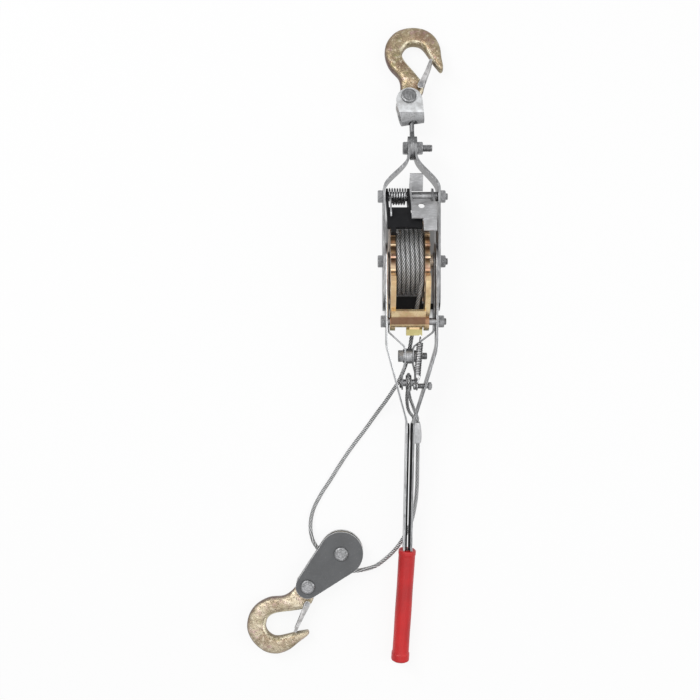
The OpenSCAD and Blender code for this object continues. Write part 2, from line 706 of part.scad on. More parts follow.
ear_r = 14.5;
ear_drop = -4;
yoke_gap = 14;
yoke_t = 3.6;
module hook_yoke() {
    in = yoke_gap / 2;
    out = in + yoke_t;
    v0 = yoke_in - web_t2;
    yoke_bend = [[v0 + 12.6, out], [v0 + 8.6, out - 0.7], [v0 + 4.6, out - 2.6],
        [v0 + 1.4, out - 5.2], [v0, out - 7.8]];
    color("gainsboro") in_yoke() difference() {
        intersection() {
            linear_extrude(2 * out, center = true) {
                translate([0, ear_drop]) circle(ear_r);
                polygon([[-ear_r, ear_drop], [-ear_r + 1.7, v0], [ear_r - 1.7, v0], [ear_r, ear_drop]]);
            }
            translate([-ear_r, 0, 0]) rotate([90, 0, 90]) linear_extrude(2 * ear_r)
                polygon(concat([[ear_r, out]], yoke_bend,
                    [for (i = [len(yoke_bend) - 1 : -1 : 0]) [yoke_bend[i][0], -yoke_bend[i][1]]],
                    [[ear_r, -out], [ear_r, -in], [yoke_in + 2, -in], [yoke_in, 1.4 - in],
                    [yoke_in, in - 1.4], [yoke_in + 2, in], [ear_r, in]]));
        }
        cylinder(h = 4 * out, r = pivot_d / 2 + fit, center = true);
        translate([0, v0 - 1, 0]) rotate([-90, 0, 0]) cylinder(h = web_t2 + 2, r = hole_r);
    }
}
pin_head_r = 8.5;
pin_head_t = 3.2;
module yoke_pin() {
    out = yoke_gap / 2 + yoke_t + seat;
    color("lightgray") in_yoke() {
        cylinder(h = 2 * out + 1, r = pivot_d / 2, center = true);
        for (s = [-1, 1]) translate([0, 0, s * (out + pin_head_t / 2)])
            cylinder(h = pin_head_t, r = pin_head_r, center = true);
    }
}

// ---- Forged hook: u to the opening side, v away from the pivot ----
// Matching points on its back and on its throat side, from the eye to the tip
hook_back = [[-12, 3], [-10.6, 13], [-14.5, 26], [-26.5, 38], [-33, 53], [-32.2, 68], [-24, 81.5],
    [-9.5, 88.8], [7, 89.2], [20, 82.5], [28, 70.5], [31.4, 57], [34.2, 47], [34.8, 41.8]];
bowl_in = bowl_r - 0.4;
hook_throat = concat([[12.3, 3], [15.6, 13.5], [13, 22.5], [4.5, 32.5]],
    [for (a = [225, 180, 137, 106, 72, 43]) [0, bowl_v] + polar(bowl_in, a)],
    [[16.4, 57.2], [22.8, 49], [29.4, 41.8], [31.6, 39.9]]);
back_curve = open_curve(hook_back, 3);
throat_curve = open_curve(hook_throat, 3);
// Half of a section: how far it draws in from the flank, and its height
hook_half = hook_t / 2;
hook_flank = [[0, hook_half - 3.6], [1.3, hook_half - 1.4], [hook_inset, hook_half]];
latch_at = [11.8, 16];
latch_r = 1.6;
eye_clear_r = 16.4;
eye_gap = 11.4;
eye_r2 = 12.5;
module hook_body() {
    rings = len(back_curve);
    corners = len(hook_flank);
    sides = 4 * corners;
    points = [for (i = [0 : rings - 1])
        let (b = back_curve[i], t = throat_curve[i], w = norm(t - b), across = unit(t - b),
            share = min(1, w / 14))
        each concat(
            [for (c = [0 : corners - 1]) let (f = hook_flank[c], p = b + across * f[0] * share)
                [p[0], p[1], f[1] * (0.5 + share / 2)]],
            [for (c = [corners - 1 : -1 : 0]) let (f = hook_flank[c], p = t - across * f[0] * share)
                [p[0], p[1], f[1] * (0.5 + share / 2)]],
            [for (c = [0 : corners - 1]) let (f = hook_flank[c], p = t - across * f[0] * share)
                [p[0], p[1], -f[1] * (0.5 + share / 2)]],
            [for (c = [corners - 1 : -1 : 0]) let (f = hook_flank[c], p = b + across * f[0] * share)
                [p[0], p[1], -f[1] * (0.5 + share / 2)]])];
    walls = [for (i = [0 : rings - 2], s = [0 : sides - 1], half = [0, 1])
        let (p = i * sides + s, q = i * sides + (s + 1) % sides)
        half == 0 ? [p, p + sides, q] : [q, p + sides, q + sides]];
    last = (rings - 1) * sides;
    ends = [for (s = [1 : sides - 2], end = [0, 1])
        end == 0 ? [0, s, s + 1] : [last, last + s + 1, last + s]];
    difference() {
        union() {
            polyhedron(points, concat(walls, ends), convexity = 10);
            cylinder(h = eye_gap, r = eye_r2, center = true);
        }
        cylinder(h = 2 * hook_t, r = pivot_d / 2 + fit, center = true);
        translate([0, bowl_v, 0]) cylinder(h = 2 * hook_t, r = bowl_r, center = true);
        for (s = [-1, 1]) translate([0, 0, s * (eye_gap / 2 + hook_t / 2)])
            cylinder(h = hook_t, r = eye_clear_r, center = true);
        translate(latch_at) cylinder(h = 2 * hook_t, r = latch_r + fit, center = true);
        translate(latch_at) cylinder(h = 5.4, r = 3.6, center = true);
    }
}

// Latch: two cheeks and a web of sheet, its end inside the hook's tip
latch_len = 34.4;
latch_turn = 78.4;
latch_t = 1.2;
latch_web_x = 13;
latch_cheek_r = 3.6;
cheek_in = hook_t / 2 + slack;
module latch_body() {
    translate(latch_at) rotate([0, 0, latch_turn]) difference() {
        union() {
            for (s = [-1, 1]) translate([0, 0, s * (cheek_in + latch_t / 2)])
                linear_extrude(latch_t, center = true)
                    polygon(concat(arc([0, 0], latch_cheek_r, 80, 262, 12),
                        [[12, -3], [latch_len, -3], [latch_len, 0.2], [15, 1.4]]));
            translate([latch_web_x, -3, -cheek_in - 0.1])
                cube([latch_len - latch_web_x, latch_t, 2 * cheek_in + 0.2]);
        }
        cylinder(h = 3 * hook_t, r = latch_r + fit, center = true);
    }
}
module latch_pin_body() {
    out = cheek_in + latch_t + seat;
    translate(latch_at) {
        cylinder(h = 2 * out + 1, r = latch_r, center = true);
        for (s = [-1, 1]) translate([0, 0, s * (out + 0.5)]) cylinder(h = 1, r = 2.6, center = true);
    }
}
latch_wire_r = 0.4;
latch_coil = coil([latch_at[0], latch_at[1], -1.95], [0, 0, 1], [1, 0, 0], [0, 1, 0], 2.3, 1.3,
    90, 90 + 360 * 3, spring_ring);
echo(latch_spring_gap = coil_gap(latch_coil, spring_ring, 2 * latch_wire_r));
module latch_spring_body() {
    tube(latch_coil, latch_wire_r, 6, [0, 0, 1]);
}
module top_hook() { color("darkkhaki") in_top_hook() hook_body(); }
module top_latch() { color("gray") in_top_hook() latch_body(); }
module top_latch_pin() { color("silver") in_top_hook() latch_pin_body(); }
module top_latch_spring() { color("silver") in_top_hook() latch_spring_body(); }

// ---- Pulley block, lying on its rivet heads ----
rivet_head_t = 3;
rivet_head_r = 8;
block_at = [-77.7, -329.1];
block_turn = 224.5;
block_mid = rivet_head_t + block_t + block_gap / 2;
block_end_r = 13.8;
block_hook_turn = 232;
hook_rivet_at = block_at + polar(block_len, block_turn);
module block_plate(z) {
    translate([block_at[0], block_at[1], z]) rotate([0, 0, block_turn]) difference() {
        linear_extrude(block_t) link_outline([0, 0], block_r, [block_len, 0], block_end_r);
        for (x = [0, block_len]) translate([x, 0, -1]) cylinder(h = block_t + 2, r = pivot_d / 2 + fit);
    }
}
module rivet(at) {
    top = 2 * block_mid;
    translate([at[0], at[1], 0]) {
        cylinder(h = top, r = pivot_d / 2);
        cylinder(h = rivet_head_t - seat, r = rivet_head_r);
        translate([0, 0, top - rivet_head_t + seat]) cylinder(h = rivet_head_t - seat, r = rivet_head_r);
    }
}
module block_plate_lower() { color("gray") block_plate(rivet_head_t); }
module block_plate_upper() { color("gray") block_plate(rivet_head_t + block_t + block_gap); }
module sheave_axle() { color("dimgray") rivet(block_at); }
module hook_rivet() { color("dimgray") rivet(hook_rivet_at); }

sheave_r = 23.5;
sheave_w = block_gap - 2 * slack;
sheave_bore_r = 7;
groove_r = rope_r + 0.5;
module sheave() {
    color("darkgoldenrod") translate([block_at[0], block_at[1], block_mid]) difference() {
        cylinder(h = sheave_w, r = sheave_r, center = true);
        cylinder(h = 2 * sheave_w, r = sheave_bore_r + fit, center = true);
        rotate_extrude() translate([sheave_rope_r, 0]) {
            circle(groove_r);
            polygon([[0, -groove_r], [6, -groove_r - 1.6], [6, groove_r + 1.6], [0, groove_r]]);
        }
    }
}
module sheave_bush() {
    color("darkgoldenrod") translate([block_at[0], block_at[1], block_mid]) difference() {
        cylinder(h = sheave_w, r = sheave_bore_r, center = true);
        cylinder(h = 2 * sheave_w, r = pivot_d / 2 + fit, center = true);
    }
}
module in_block_hook() {
    translate([hook_rivet_at[0], hook_rivet_at[1], block_mid]) rotate([0, 0, block_hook_turn - 90])
        rotate([0, 180, 0]) children();
}
module block_hook() { color("darkkhaki") in_block_hook() hook_body(); }
module block_latch() { color("gray") in_block_hook() latch_body(); }
module block_latch_pin() { color("silver") in_block_hook() latch_pin_body(); }
module block_latch_spring() { color("silver") in_block_hook() latch_spring_body(); }

// ---- Free rope: from the drum under the tail sleeve, round the sheave, to the dead end ----
under_at = [tail_x, -tail_bolt_y - under_sleeve_r * sin(-leave_tilt) - 3,
    axle_z - under_sleeve_r * cos(leave_tilt) - 1.2];
rope_out = [[-7.4, -121, 28.5], [-13, -134, 24], [-19, -144, 19], [-28, -158, 11.5], [-38, -172, 5.5],
    [-50, -189, 2.6], [-68, -213, 2.4], [-80, -231, 2.4], [-90, -247, 2.4], [-101, -264, 2.4],
    [-110, -282, 3.2], [-113, -300, 5.5], [-109.5, -317, 9.2]];
wrap_start = 190;
wrap_end = 280;
wrap_rings = 8;
rope_wrap = [for (p = arc(block_at, sheave_rope_r, wrap_start, wrap_end, wrap_rings))
    [p[0], p[1], block_mid]];
rope_back = [[-60, -350, 11], [-40, -346, 6.5], [-26, -337, 3], [-14, -325, 2.4], [-4, -310, 2.4],
    [3, -294, 2.4], [7.5, -273, 2.4], [9.2, -254, 2.4], [9.6, -236, 2.6], [9.8, -221, 3.6]];
ferrule_low = [10, -204.5, 5.4];
ferrule_top = [9.4, -180, 11.4];
rope_corners = concat([rope_start + leave_dir * 0.02, lerp(rope_start, under_at, 0.5), under_at],
    rope_out, rope_wrap, rope_back, [ferrule_low]);
run_path = concat([rope_corners[0], rope_corners[0] + leave_dir * rope_d],
    open_curve([for (i = [1 : len(rope_corners) - 1]) rope_corners[i]], 2));
module rope_run() { color("darkgray") tube(run_path, rope_r, 8, [0, 0, 1]); }

ferrule_r = 4.4;
leg_gap = 5.2;
ferrule_axis = unit(ferrule_top - ferrule_low);
module ferrule() {
    swing = atan2(ferrule_axis[1], ferrule_axis[0]);
    tilt = acos(ferrule_axis[2]);
    color("silver") translate(ferrule_low) rotate([0, tilt, swing]) difference() {
        hull() for (y = [0, leg_gap]) translate([0, y, 0])
            cylinder(h = norm(ferrule_top - ferrule_low), r = ferrule_r);
        translate([0, 0, -1]) cylinder(h = 3, r = rope_r + 0.1);
    }
}

// The eye: the rope's end laid round the thimble on the dead end pin and back beside itself
eye_r = 9.4;
eye_rope_r = 1.9;
eye_mid = [tail_x, -dead_end_y, dead_end_z];
function eye_end(side, d) =
    ferrule_top + ferrule_axis * d + [side * (eye_rope_r + 0.36) - leg_gap / 2, 0, 0];
eye_path = concat(
    open_curve([eye_end(1, 0.7), eye_end(1, 5), [4.4, -164, 16.4], [tail_x + 1.8, -151, 25.5]], 3),
    [for (p = arc([0, 0], eye_r, -120, 120, 16)) eye_mid + [0, p[0], p[1]]],
    open_curve([[tail_x - 1.8, -146, 40.5], [tail_x - 1.6, -157, 32.5], [-1.4, -167, 24.2],
        eye_end(-1, 5), eye_end(-1, 0.7)], 3));
module rope_eye() { color("dimgray") tube(eye_path, eye_rope_r, 8, [1, 0, 0]); }
module thimble() {
    color("dimgray") difference() {
        rod(tail_x - 3, tail_x + 3, -dead_end_y, dead_end_z, eye_r - 0.5);
        rod(tail_x - 5, tail_x + 5, -dead_end_y, dead_end_z, bolt_r + fit);
        translate([tail_x, -dead_end_y, dead_end_z]) rotate([0, 90, 0]) rotate_extrude()
            translate([eye_r, 0]) circle(eye_rope_r + slack);
    }
}

frame_plate_left();
frame_plate_right();
tail_link_left();
tail_link_right();
upper_cross_bolt();
upper_bolt_nut();
upper_spacer_tube();
stop_pawl_spring();
axle_bolt();
axle_nut();
top_bolt();
top_bolt_nut();
tail_bolt();
tail_nut();
tail_sleeve();
rope_guard();
dead_end_pin();
drum_tube();
ratchet_wheel_left();
ratchet_wheel_right();
drum_bush();
rope_under_layers();
rope_winding();
handle_strap_left();
handle_strap_right();
handle_core();
grip();
pawl_bolt();
pawl_nut();
spring_anchor_bolt();
spring_anchor_nut();
drive_spring();
driving_pawl();
stop_pawl();
release_lever();
swivel_eye();
hook_yoke();
yoke_pin();
top_hook();
top_latch();
top_latch_pin();
top_latch_spring();
block_plate_upper();
block_plate_lower();
sheave_axle();
hook_rivet();
sheave();
sheave_bush();
block_hook();
block_latch();
block_latch_pin();
block_latch_spring();
rope_run();
rope_eye();
thimble();
ferrule();
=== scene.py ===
# %% [markdown]
# # A come along winch, dressed for the camera
#
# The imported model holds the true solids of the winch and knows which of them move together.
# This lesson gives each solid its finish, and swaps the plain ones for fuller shapes: laid wire
# rope, forged hooks, threaded bolts and a dipped grip. Everything is in metres, in the packed
# model's own frame: +X across the winch head, +Y towards the swivel hook, +Z up.

# %% Load the frame
import json
import math

import bmesh
import bpy
from mathutils import Matrix, Vector

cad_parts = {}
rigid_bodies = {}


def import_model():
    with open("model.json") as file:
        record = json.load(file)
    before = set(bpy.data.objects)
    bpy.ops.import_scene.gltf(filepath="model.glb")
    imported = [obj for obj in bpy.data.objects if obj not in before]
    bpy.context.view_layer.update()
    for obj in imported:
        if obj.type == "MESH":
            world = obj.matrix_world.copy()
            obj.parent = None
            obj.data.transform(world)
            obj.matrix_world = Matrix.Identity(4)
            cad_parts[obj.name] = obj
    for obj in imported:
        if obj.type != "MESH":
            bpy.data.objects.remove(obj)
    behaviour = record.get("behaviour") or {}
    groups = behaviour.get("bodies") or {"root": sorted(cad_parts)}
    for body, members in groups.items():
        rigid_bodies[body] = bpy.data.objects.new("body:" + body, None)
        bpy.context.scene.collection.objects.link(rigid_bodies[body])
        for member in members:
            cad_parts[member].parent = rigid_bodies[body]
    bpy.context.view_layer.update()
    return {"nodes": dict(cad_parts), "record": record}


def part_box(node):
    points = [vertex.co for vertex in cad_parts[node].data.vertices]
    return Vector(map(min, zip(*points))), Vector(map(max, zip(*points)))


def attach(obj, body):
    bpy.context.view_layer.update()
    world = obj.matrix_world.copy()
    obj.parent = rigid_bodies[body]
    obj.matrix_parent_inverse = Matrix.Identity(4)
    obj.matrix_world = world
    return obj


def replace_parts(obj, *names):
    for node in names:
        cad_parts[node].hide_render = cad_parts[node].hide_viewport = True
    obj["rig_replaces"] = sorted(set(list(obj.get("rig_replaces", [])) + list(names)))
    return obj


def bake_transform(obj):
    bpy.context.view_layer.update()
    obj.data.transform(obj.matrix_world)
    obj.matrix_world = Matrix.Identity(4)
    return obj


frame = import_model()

nodes = frame["nodes"]
body_of_node = {}
for body_name, members in frame["record"]["behaviour"]["bodies"].items():
    for member in members:
        body_of_node[member] = body_name

MM = 0.001


def mm(*point):
    """A point given in millimetres, as a vector in metres."""
    return Vector(point) * MM


def placed(name, data):
    """A new object that holds data, linked to the scene."""
    made = bpy.data.objects.new(name, data)
    bpy.context.scene.collection.objects.link(made)
    return made


# %% [markdown]
# ## Camera, floor and light
#
# The winch lies flat and is seen from straight above. The camera stands 1.3 m over the surface
# and takes in 0.8 m of it. The floor is a pale sheet that shows its own colour to the camera, so
# it stays near white without more light on the metal. Two long soft boxes, a key and a fill, give
# the bolts and straps their bright stripes, a wide ceiling lights the flats, and a pale, even world
# fills the rest. Under the head the floor is painted dark grey and stops showing its own colour:
# a painted shadow that darkens the gaps inside the frame.

# %% Camera
CAMERA_AT = Vector((-0.0677, -0.0983, 1.3))
HALF_VIEW = 0.4025
camera_data = bpy.data.cameras.new("camera")
camera_data.angle = 2 * math.atan(HALF_VIEW / CAMERA_AT.z)
camera_data.clip_end = 20
camera = placed("camera", camera_data)
camera.location = CAMERA_AT
bpy.context.scene.camera = camera
bpy.context.scene.view_settings.view_transform = "Standard"
print("camera angle:", round(math.degrees(camera_data.angle), 2))

# %% [markdown]
# ## Shader maths in Python
#
# A finish is a small network of nodes. Writing `a * 3 + b` is easier to read than four nodes and
# six links, so a thin class wraps a socket and turns each operator into its Math node. Colours
# go through Mix nodes instead, because a Math node would turn them grey.

# %% The socket class and the node builder
class Value:
    """A number that varies over the surface: a node's output socket with operators."""

    def __init__(self, recipe, socket):
        self.recipe = recipe
        self.socket = socket

    def _math(self, operation, *values):
        return self.recipe.node("ShaderNodeMath", {"operation": operation}, *values)

    def __add__(self, other):
        return self._math("ADD", self, other)

    def __sub__(self, other):
        return self._math("SUBTRACT", self, other)

    def __rsub__(self, other):
        return self._math("SUBTRACT", other, self)

    def __mul__(self, other):
        return self._math("MULTIPLY", self, other)

    def __pow__(self, other):
        return self._math("POWER", self, other)

    __radd__ = __add__
    __rmul__ = __mul__

    def sin(self):
        return self._math("SINE", self)

    def angle_to(self, other):
        return self._math("ARCTAN2", self, other)

    def clamp(self):
        return self.recipe.node("ShaderNodeMath", {"operation": "ADD", "use_clamp": True}, self, 0.0)

    def between(self, low, high):
        """0 below low, 1 above high, smooth in between."""
        return self.recipe.node("ShaderNodeMapRange", {"interpolation_type": "SMOOTHSTEP"},
                                self, low, high)


class Recipe:
    """One material, built node by node. Given a world instead of a name, it builds the sky."""

    def __init__(self, name, sky=None):
        self.material = sky or bpy.data.materials.new(name)
        self.material.use_nodes = True
        self.tree = self.material.node_tree
        self.shader = self.tree.nodes["Background" if sky else "Principled BSDF"]
        self.place = None if sky else self.node("ShaderNodeTexCoord", {}, out="Object")

    def node(self, kind, settings, *values, out=0, **named):
        """A node of that kind, with its settings, then its sockets by order or by name."""
        new = self.tree.nodes.new(kind)
        for key, setting in settings.items():
            setattr(new, key, setting)
        for index, value in enumerate(values):
            self.feed(new.inputs[index], value)
        for key, value in named.items():
            self.feed(new.inputs[key.replace("_", " ")], value)
        return Value(self, new.outputs[out])

    def feed(self, socket, value):
        if isinstance(value, Value):
            self.tree.links.new(value.socket, socket)
        elif value is not None:
            socket.default_value = value

    def noise(self, size, detail=3.0, rough=0.5, stretch=None):
        """Smooth random values whose patches are about size metres across."""
        where = self.place
        if stretch:
            where = self.node("ShaderNodeMapping", {}, where, Scale=stretch)
        return self.node("ShaderNodeTexNoise", {"normalize": True}, Vector=where,
                         Scale=1 / size, Detail=detail, Roughness=rough)

    def cells(self, size):
        """The distance to the middle of the nearest of many cells of about that size."""
        return self.node("ShaderNodeTexVoronoi", {}, out="Distance", Vector=self.place, Scale=1 / size)

    def mix(self, amount, low, high):
        """A colour between low and high."""
        new = self.tree.nodes.new("ShaderNodeMix")
        new.data_type = "RGBA"
        self.feed(new.inputs[0], amount)
        self.feed(new.inputs[6], low if isinstance(low, Value) else (*low, 1))
        self.feed(new.inputs[7], high if isinstance(high, Value) else (*high, 1))
        return Value(self, new.outputs[2])

    def layered(self, colour, *layers):
        """A colour under (amount, shade) layers, each laid over the ones before."""
        for amount, shade in layers:
            colour = self.mix(amount, colour, shade)
        return colour

    def split(self, vector, axis):
        return self.node("ShaderNodeSeparateXYZ", {}, vector, out=axis)

    def attribute(self, name, out="Vector"):
        return self.node("ShaderNodeAttribute", {"attribute_name": name}, out=out)

    def bump(self, height, depth, strength=1.0):
        return self.node("ShaderNodeBump", {}, Strength=strength, Distance=depth, Height=height)

    def finish(self, **sockets):
        for key, value in sockets.items():
            socket = self.shader.inputs[key.replace("_", " ")]
            if isinstance(value, tuple) and len(value) == 3:
                value = (*value, 1)
            self.feed(socket, value)
        return self.material


# %% Floor, world and lamps
WHITE = (0.98, 0.98, 0.98)


def seen_by(recipe):
    """1 for rays from the camera, a mirror or clear glass, 0 for the light that fills the scene."""
    path = recipe.tree.nodes.new("ShaderNodeLightPath").outputs
    rays = Value(recipe, path["Is Camera Ray"])
    for other in ("Is Glossy Ray", "Is Transmission Ray"):
        rays = rays + Value(recipe, path[other])
    return rays.clamp()


backdrop = Recipe("pale_floor")
surface = backdrop.tree.nodes.new("ShaderNodeEmission")
surface.inputs["Color"].default_value = (*WHITE, 1)
blend = backdrop.tree.nodes.new("ShaderNodeMixShader")
across = backdrop.split(backdrop.place, "X")
along = backdrop.split(backdrop.place, "Y")
# Painted shadow: under the head the floor's colour is painted dark grey, and there it stops showing its own
# colour to the camera.
painted_shadow_under_head = (across.between(-0.0325, -0.0255) * (1 - across.between(0.0285, 0.037))
              * along.between(-0.072, -0.048) * (1 - along.between(0.046, 0.061)))
OWN_COLOUR = 0.90
backdrop.feed(blend.inputs[0], seen_by(backdrop) * (1 - painted_shadow_under_head) * OWN_COLOUR)
backdrop.finish(Base_Color=backdrop.mix(painted_shadow_under_head, WHITE, (0.30, 0.30, 0.30)), Roughness=0.9)
backdrop.tree.links.new(backdrop.shader.outputs[0], blend.inputs[1])
backdrop.tree.links.new(surface.outputs[0], blend.inputs[2])
backdrop.tree.links.new(blend.outputs[0], backdrop.tree.nodes["Material Output"].inputs[0])

FLOOR_HALF = 3.0
floor_mesh = bpy.data.meshes.new("floor")
floor_corners = [(x * FLOOR_HALF, y * FLOOR_HALF, 0) for x, y in ((-1, -1), (1, -1), (1, 1), (-1, 1))]
floor_mesh.from_pydata(floor_corners, [], [(0, 1, 2, 3)])
floor_mesh.materials.append(backdrop.material)
placed("floor", floor_mesh)

world = bpy.data.worlds.new("studio")
bpy.context.scene.world = world
sky = Recipe("studio", sky=world)
sky.finish(Color=(0.96, 0.97, 0.98), Strength=seen_by(sky) * 0.58 + 0.38)


def soft_box(name, place, target, width, length, watts):
    """A rectangular lamp at place that faces target."""
    lamp = bpy.data.lights.new(name, "AREA")
    lamp.shape = "RECTANGLE"
    lamp.size = width
    lamp.size_y = length
    lamp.energy = watts
    holder = placed(name, lamp)
    holder.location = place
    holder.rotation_euler = (Vector(target) - Vector(place)).to_track_quat("-Z", "Y").to_euler()


WINCH_MIDDLE = (-0.03, -0.1, 0.0)
soft_box("key", (-1.0, 0.7, 1.6), WINCH_MIDDLE, 0.5, 1.5, 17)
soft_box("fill", (1.3, -0.3, 1.1), WINCH_MIDDLE, 0.35, 1.6, 7)
soft_box("ceiling", (0.0, -0.05, 2.3), WINCH_MIDDLE, 2.8, 2.8, 23)


# %% [markdown]
# ## Finishes
#
# Each finish follows the real process, and several have painted light and shade laid over it.
# Sheet that was rolled and then zinc plated is bright, with faint streaks and a bluish cast.
# Yellow chromate on zinc is thin enough to show colours like oil on water, so its hue wanders
# from gold to copper and pink. A forged hook keeps the skin of the die. Paint wears through where
# edges rub. The painted light: highlights on rounded edges and on the hooks' lips, and shade in the
# tooth roots, under the pawl's web, on the yoke's bend, down the hooks' backs and in the rope.

# %% Zinc plated sheet, bolts and wire
def rubbed(recipe, size, low, high):
    """A mask of irregular worn patches."""
    return (recipe.noise(size, detail=5, rough=0.65)).between(low, high)


def zinc(name, shade, rough, streak=(1, 1, 1), dark=0.72, warm=0.0, metal=0.93):
    """Plated steel: its own shade, darker stains, rolling streaks, fine scratches and painted edge
    highlights.
    """
    recipe = Recipe(name)
    stain = recipe.noise(0.011, detail=4, rough=0.6)
    grain = recipe.noise(0.0016, detail=3, rough=0.6, stretch=streak)
    grime = recipe.noise(0.005, detail=5, rough=0.7)
    fine = recipe.noise(0.00045, detail=2, rough=0.5, stretch=streak)
    base = tuple(shade * tint for tint in (1.0 + warm, 1.0, 1.02 - warm))
    worn = tuple(shade * dark * tint for tint in (1.0 + warm, 1.0, 1.01 - warm))
    colour = recipe.layered(
        worn, (stain.between(0.36, 0.66), base),
        (grain.between(0.45, 0.75) * 0.25, (0.93, 0.94, 0.96)),
        # Painted highlight: the rounded edges (rim) are painted bright.
        (recipe.attribute("rim", out="Fac") * stain.between(0.2, 0.5) * 0.7, (0.86, 0.87, 0.88)),
        (grime.between(0.56, 0.80) * 0.4, (0.14, 0.135, 0.13)))
    return recipe.finish(Base_Color=colour, Metallic=metal,
                         Roughness=grain * 0.16 + stain * 0.12 + (rough - 0.14),
                         Normal=recipe.bump(grain * 0.6 + fine * 0.4, 0.00004, 0.6))


zinc_plate = zinc("bright_zinc_sheet", 0.18, 0.36, streak=(1.0, 0.12, 1.0), dark=0.80)
zinc_dull = zinc("dull_zinc_sheet", 0.22, 0.45, streak=(1.0, 0.25, 1.0), dark=0.70)
zinc_bolt = zinc("zinc_bolt", 0.32, 0.34, dark=0.50, metal=0.7)
zinc_tube = zinc("turned_tube", 0.34, 0.52, dark=0.7)
zinc_lever = zinc("lever_sheet", 0.40, 0.40, streak=(0.3, 1.0, 1.0), dark=0.8, metal=0.6)
spring_wire = zinc("spring_wire", 0.50, 0.28, dark=0.5)
latch_sheet = zinc("latch_sheet", 0.46, 0.40, streak=(0.3, 1.0, 1.0), dark=0.5, warm=0.03)
ferrule_alloy = zinc("ferrule_alloy", 0.50, 0.42, dark=0.7)


def bent_sheet():
    """The yoke's thick sheet: bright on its flat ears, wrinkled and painted dark as shade where it bends
    away.
    """
    recipe = Recipe("bent_zinc_sheet")
    bend = 1 - recipe.split(recipe.place, "Y").between(YOKE_CREASE - 0.0006, YOKE_CREASE + 0.0006)
    stain = recipe.noise(0.006, detail=4, rough=0.6)
    wrinkle = recipe.noise(0.0014, detail=5, rough=0.75)
    colour = recipe.layered(
        (0.44, 0.44, 0.44), (stain.between(0.35, 0.7), (0.66, 0.67, 0.68)),
        # Painted shade: the sheet below the crease bends away from the light and is painted dark, darker
        # still in the wrinkles.
        (bend * 0.7, (0.20, 0.20, 0.205)),
        (bend * wrinkle.between(0.50, 0.66) * 0.8, (0.08, 0.08, 0.08)))
    return recipe.finish(Base_Color=colour, Metallic=0.5, Roughness=stain * 0.1 + bend * 0.15 + 0.3,
                         Normal=recipe.bump(wrinkle * bend + stain * 0.1, 0.0005, 0.8))


YOKE_CREASE = 0.166
yoke_zinc = bent_sheet()


# %% Yellow chromate on the ratchet wheels and the driving pawl
def chromate(name, gold, copper, pink, green, patch, rough, dull, marks=()):
    """Zinc with yellow chromate: hues wander over it, and handling dulls it in patches."""
    recipe = Recipe(name)
    drift = recipe.noise(patch, detail=3, rough=0.55)
    second = recipe.noise(patch * 0.45, detail=4, rough=0.6)
    grime = recipe.noise(patch * 0.8, detail=6, rough=0.7)
    fine = recipe.noise(0.0006, detail=3, rough=0.6)
    colour = recipe.layered(
        gold, (drift.between(0.38, 0.62), copper),
        (second.between(0.55, 0.72) * 0.55, pink),
        ((1 - second).between(0.58, 0.74) * 0.5, green),
        (grime.between(0.5, 0.8) * 0.6, dull),
        *((where(recipe) * share, shade) for where, share, shade in marks))
    return recipe.finish(Base_Color=colour, Metallic=0.88,
                         Roughness=grime * 0.22 + fine * 0.1 + (rough - 0.16),
                         Normal=recipe.bump(fine * 0.5 + grime * 0.5, 0.00008, 0.5))


def in_tooth_roots(recipe):
    """1 in the ring of the wheel where its teeth start, painted dark as the shade in the tooth roots."""
    high = recipe.split(recipe.place, "Z") - 0.045
    radius = (recipe.split(recipe.place, "Y") ** 2.0 + high ** 2.0) ** 0.5
    return radius.between(0.0365, 0.0380) * (1 - radius.between(0.0395, 0.0432))


def under_the_web(recipe):
    """1 in the hollow across the pawl's web, painted dark as the shade under the web."""
    along = recipe.split(recipe.place, "Y")
    return along.between(-0.0712, -0.0700) * (1 - along.between(-0.0635, -0.0620))


def on_the_tab(recipe):
    """1 on the tab behind the pawl, which is made a darker olive."""
    return 1 - recipe.split(recipe.place, "Y").between(-0.0765, -0.0745)


# The wheels' mark is painted shade in the tooth roots.
yellow_zinc = chromate("yellow_zinc_wheel", (0.72, 0.56, 0.36), (0.50, 0.30, 0.20),
                       (0.78, 0.56, 0.50), (0.34, 0.34, 0.20), 0.009, 0.30, (0.09, 0.06, 0.04),
                       marks=[(in_tooth_roots, 0.85, (0.09, 0.06, 0.04))])
# Painted shade under the pawl's web; the tab behind it is made a darker olive.
pawl_zinc = chromate("yellow_zinc_pawl", (0.74, 0.58, 0.34), (0.58, 0.40, 0.22), (0.66, 0.44, 0.34),
                     (0.50, 0.46, 0.22), 0.012, 0.30, (0.20, 0.09, 0.055),
                     marks=[(under_the_web, 0.85, (0.20, 0.09, 0.055)),
                            (on_the_tab, 0.8, (0.26, 0.25, 0.10))])
sheave_zinc = chromate("sheave_zinc", (0.45, 0.38, 0.22), (0.36, 0.26, 0.16),
                       (0.42, 0.34, 0.30), (0.34, 0.34, 0.22), 0.02, 0.4, (0.12, 0.10, 0.08))
